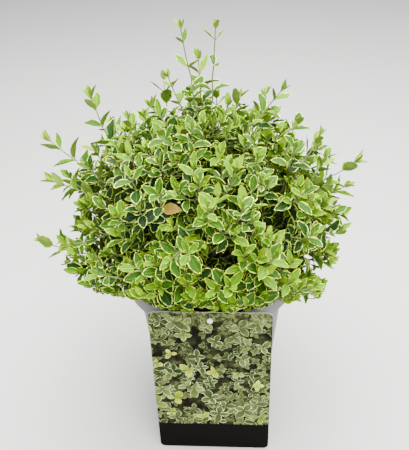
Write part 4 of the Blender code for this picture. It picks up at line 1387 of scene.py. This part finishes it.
class WINTERCREEPER_OT_compost(bpy.types.Operator):
    """Model the crumbly compost, with loose crumbs scattered over it"""

    bl_idname = "wintercreeper.compost"
    bl_label = "Compost"

    def execute(self, context):
        settings = context.scene.wintercreeper_compost
        pot = context.scene.wintercreeper_pot
        share = min(1.0, COMPOST_TOP / (POT_HEIGHT - pot.lip_height))
        half = POT_FOOT_HALF + (POT_BODY_HALF - POT_FOOT_HALF) * share - pot.wall - COMPOST_EDGE
        foot = POT_FOOT_HALF - pot.wall - COMPOST_EDGE
        item = edit_new("compost_surface", bpy.ops.mesh.primitive_grid_add,
                        x_subdivisions=settings.cells, y_subdivisions=settings.cells, size=2.0)
        shape = bmesh.from_edit_mesh(item.data)
        for vert in shape.verts:
            x, y, ring = rounded_place(vert.co.x, vert.co.y, half)
            coarse = noise(Vector((x, y, 0.0)) * COARSE_LUMPS)
            lumps = coarse + FINE_LUMPS_SHARE * noise(Vector((x, y, 1.0)) * FINE_LUMPS)
            crown = COMPOST_CROWN * (1.0 - ring ** 2)
            vert.co = (x, y, COMPOST_TOP + crown + settings.relief * lumps * (1.0 - ring ** 6))
        bmesh.update_edit_mesh(item.data)
        select_where(item, "edges", lambda e: e.is_boundary)
        extrude_ring(COMPOST_FOOT - COMPOST_TOP, foot / half, COMPOST_FOOT)
        bpy.ops.mesh.edge_face_add()
        close_shape()
        peat = compost_material()
        item.data.materials.append(peat)
        hand_over(item, ["compost"], 50.0)
        self.scatter_crumbs(settings, half, peat)
        return {"FINISHED"}

    def scatter_crumbs(self, settings, half, peat):
        """Loose crumbs of peat and bark, in one piece."""
        chance = random.Random(settings.crumbs)
        pattern = model_crumb()
        crumbs = Joined()
        for _ in range(settings.crumbs):
            x, y, ring = rounded_place(chance.uniform(-CRUMB_SPREAD, CRUMB_SPREAD),
                                       chance.uniform(-CRUMB_SPREAD, CRUMB_SPREAD), half)
            size = settings.crumb_size * chance.uniform(*CRUMB_SIZES)
            turn = Matrix.Rotation(chance.uniform(0.0, math.tau), 3, "Z")
            turn = turn @ Matrix.Rotation(chance.uniform(-CRUMB_TIP, CRUMB_TIP), 3, "X")
            level = COMPOST_TOP + COMPOST_CROWN * (1.0 - ring ** 2) + size * CRUMB_RISE
            placed = pattern.verts @ np.array(turn).T * size + np.array((x, y, level))
            crumbs.add_copies(pattern, placed[None], chance.randrange(2))
        chips = mottled("bark chips", (0.11, 0.065, 0.035), 0.85, 300.0, 0.4, 0.0004)
        hand_over(crumbs.make("compost_crumbs", [peat, chips]), [], 30.0)


class WINTERCREEPER_OT_tag(bpy.types.Operator):
    """Model the printed card with its hole and slit, and finish the peg that holds it"""

    bl_idname = "wintercreeper.tag"
    bl_label = "Tag"

    def execute(self, context):
        settings = context.scene.wintercreeper_tag
        size = TAG_HIGH - TAG_LOW
        middle = (TAG_LOW + TAG_HIGH) / 2
        item = edit_new("tag_card", bpy.ops.mesh.primitive_cube_add, size=1.0, location=middle, scale=size)
        select_where(item, "edges", lambda e: abs(e.verts[0].co.y - e.verts[1].co.y) > size.y / 2)
        bpy.ops.mesh.bevel(offset=TAG_CORNER, segments=TAG_CORNER_SEGMENTS, affect="EDGES")
        leave_edit()
        cut(item, bpy.ops.mesh.primitive_cylinder_add, vertices=TAG_HOLE_SIDES, radius=TAG_HOLE_RADIUS,
            depth=4 * PAST, location=(middle.x, middle.y, TAG_HOLE_LEVEL),
            rotation=(math.radians(90.0), 0.0, 0.0))
        rise = TAG_HOLE_DROP + PAST
        cut(item, bpy.ops.mesh.primitive_cube_add, size=1.0,
            location=(middle.x, middle.y, TAG_HOLE_LEVEL + rise / 2),
            scale=(TAG_SLIT_WIDTH, 4 * PAST, rise))
        item.data.materials.append(tag_print_material(TAG_LOW.z + settings.band))
        item.data.materials.append(mottled("tag card", settings.card, 0.4, 200.0, 0.04))
        round_edges(item, TAG_EDGE, 2)
        for face in item.data.polygons:
            face.material_index = 0 if face.normal.y < -0.9 else 1
        hand_over(item, ["tag"], 30.0)
        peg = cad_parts["tag_peg"]
        peg.data.materials.clear()
        peg.data.materials.append(mottled("peg plastic", settings.peg, 0.42, 180.0, 0.05, 0.00003))
        return {"FINISHED"}


class WINTERCREEPER_OT_limbs(bpy.types.Operator):
    """Model the short stem and the boughs with the bark's relief"""

    bl_idname = "wintercreeper.limbs"
    bl_label = "Stem and boughs"

    def execute(self, context):
        settings = context.scene.wintercreeper_limbs
        crown = Crown()
        limbs = Joined()
        rise, last = STEM_TOP - STEM_FOOT, STEM_STATIONS - 1
        points = [Vector((0.0, 0.0, STEM_FOOT + rise * i / last)) for i in range(STEM_STATIONS)]
        radii = [np.interp(i / last, *STEM_TAPER) for i in range(STEM_STATIONS)]
        self.add_limb(limbs, points, radii, 2 * settings.sides, settings.relief)
        for way in crown.ways.values():
            points = crown.bough_points(way, BOUGH_STATIONS)
            radii = np.linspace(BOUGH_RADIUS, BOUGH_TIP_RADIUS, BOUGH_STATIONS)
            self.add_limb(limbs, points, radii, settings.sides, settings.relief)
        item = limbs.make("stem_and_boughs", [bark_material(settings.bark)])
        hand_over(item, LIMB_NODES, 60.0)
        return {"FINISHED"}

    def add_limb(self, limbs, points, radii, sides, depth):
        """One limb whose surface is furrowed along it and ringed where leaves once were."""
        relief = []
        for i, point in enumerate(points):
            row = []
            for k in range(sides):
                angle = math.tau * k / sides
                place = Vector((math.cos(angle) * BARK_ROUND, math.sin(angle) * BARK_ROUND,
                                point.length * BARK_ALONG))
                row.append(depth * (noise(place) - BARK_LEVEL))
            ringed = i % BARK_RING_EVERY == BARK_RING_FIRST
            relief.append(np.array(row) + (BARK_RING * depth if ringed else 0.0))
        limbs.add(*tube(points, radii, sides, relief))


class WINTERCREEPER_OT_foliage(bpy.types.Operator):
    """Grow the twigs and leaves from the boughs' tips, each kind joined apart"""

    bl_idname = "wintercreeper.foliage"
    bl_label = "Twigs and leaves"

    def execute(self, context):
        settings = context.scene.wintercreeper_leaves
        growth = Growth(settings)
        growth.grow()
        self.make_twigs(growth, context.scene.wintercreeper_limbs.twig)
        patterns = (
            model_leaf("leaf broad", 0.62, 0.80, 0.88, 0.16, 0.06),
            model_leaf("leaf long", 0.72, 1.00, 0.78, 0.40, 0.08),
            model_leaf("leaf pointed", 0.80, 1.10, 0.91, 0.12, 0.10),
            model_leaf("leaf blunt", 0.68, 0.72, 0.86, 0.24, 0.05),
        )
        tones = self.make_tones(settings)
        for name, chosen in (("leaves_young", (0, 1)), ("leaves_grown", (2,)), ("leaves_old", (3, 4, 5))):
            grown = [leaf for leaf in growth.leaves if leaf.tone in chosen]
            pieces = math.ceil(len(grown) / LEAVES_A_PIECE)
            for i in range(pieces):
                self.make_leaves(f"{name}_{i + 1}", grown[i::pieces], chosen, patterns, tones,
                                 settings.bend)
        return {"FINISHED"}

    def make_leaves(self, name, leaves, chosen, patterns, tones, bend):
        """One piece of leaves, with the materials of the tones that it holds."""
        joined = Joined()
        materials = []
        for tone in chosen:
            for number, pattern in enumerate(patterns):
                some = [leaf for leaf in leaves if leaf.tone == tone and leaf.shape == number]
                if some:
                    joined.add_copies(pattern, place_leaves(pattern, some, bend), len(materials))
            materials += tones[tone]
        hand_over(joined.make(name, materials), MASS_NODES, 50.0)

    def make_twigs(self, growth, colour):
        """All twigs and leaf stalks in one piece."""
        joined = Joined()
        for shoot in growth.shoots:
            joined.add(*tube(shoot.points, shoot.radii, TWIG_SIDES))
        pattern = model_petiole()
        for leaf in growth.leaves:
            side = leaf.face.cross(leaf.way)
            scale = min(1.0, leaf.length / THIN_STALK_LEAF)
            axes = np.array((leaf.way * (leaf.stalk * PETIOLE_INTO_LEAF), side * PETIOLE_RADIUS * scale,
                             leaf.face * PETIOLE_RADIUS * scale))
            root = np.array(leaf.base - leaf.way * leaf.stalk)
            joined.add_copies(pattern, (pattern.verts @ axes + root)[None], 0)
        twig = mottled("twig skin", colour, 0.5, 260.0, 0.25, 0.0001, LEAF_GLOSS)
        hand_over(joined.make("twigs", [twig]), MASS_NODES, 60.0)

    def make_tones(self, settings):
        """The green, margin, rib and underside materials of each tone, youngest first; the dark tone is
        partly painted shade.
        """
        under = mottled("leaf underside", (0.115, 0.185, 0.024), 0.6, 240.0, 0.12, 0.0, LEAF_GLOSS)
        rows = (
            ("fresh", settings.fresh, (0.30, 0.46, 0.002), (0.24, 0.36, 0.001)),
            ("spring", settings.spring, settings.lemon, (0.17, 0.30, 0.012)),
            ("middle", settings.middle, settings.cream, (0.085, 0.16, 0.02)),
            ("deep", settings.deep, settings.cream, (0.035, 0.075, 0.015)),
            # Dark tone: the old leaves' own colour plus painted shade, with the cream margins dimmed to 0.6
            # as painted shade
            ("dark", settings.dark, tinted(settings.cream, 0.6), (0.012, 0.03, 0.008)),
            ("tan", (0.17, 0.110, 0.016), (0.28, 0.21, 0.04), (0.14, 0.085, 0.02)),
        )
        return [(
            mottled(f"leaf {name}", green, 0.40, 420.0, 0.20, 0.00005, LEAF_GLOSS),
            mottled(f"margin {name}", margin, 0.44, 420.0, 0.08, 0.0, LEAF_GLOSS),
            mottled(f"rib {name}", rib, 0.44, 420.0, 0.08, 0.0, LEAF_GLOSS),
            under,
        ) for name, green, margin, rib in rows]


OPERATORS = (
    WINTERCREEPER_OT_stage,
    WINTERCREEPER_OT_pot,
    WINTERCREEPER_OT_compost,
    WINTERCREEPER_OT_tag,
    WINTERCREEPER_OT_limbs,
    WINTERCREEPER_OT_foliage,
)


class WINTERCREEPER_PT_panel(bpy.types.Panel):
    """The sizes and colours of each piece, and the buttons that make them"""

    bl_label = "Potted wintercreeper"
    bl_idname = "WINTERCREEPER_PT_panel"
    bl_space_type = "VIEW_3D"
    bl_region_type = "UI"
    bl_category = "Wintercreeper"

    def draw(self, context):
        for name, group in GROUPS.items():
            box = self.layout.box()
            for field in group.__annotations__:
                box.prop(getattr(context.scene, name), field)
        for operator in OPERATORS:
            self.layout.operator(operator.bl_idname)


def register():
    """Register the settings, operators and panel."""
    for name, group in GROUPS.items():
        bpy.utils.register_class(group)
        setattr(bpy.types.Scene, name, PointerProperty(type=group))
    for operator in OPERATORS:
        bpy.utils.register_class(operator)
    bpy.utils.register_class(WINTERCREEPER_PT_panel)


def unregister():
    """Take the settings, operators and panel away again."""
    bpy.utils.unregister_class(WINTERCREEPER_PT_panel)
    for operator in reversed(OPERATORS):
        bpy.utils.unregister_class(operator)
    for name, group in GROUPS.items():
        delattr(bpy.types.Scene, name)
        bpy.utils.unregister_class(group)


def main():
    """Make every piece in order."""
    register()
    bpy.ops.wintercreeper.stage()
    bpy.ops.wintercreeper.pot()
    bpy.ops.wintercreeper.compost()
    bpy.ops.wintercreeper.tag()
    bpy.ops.wintercreeper.limbs()
    bpy.ops.wintercreeper.foliage()
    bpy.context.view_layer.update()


if __name__ == "__main__":
    main()
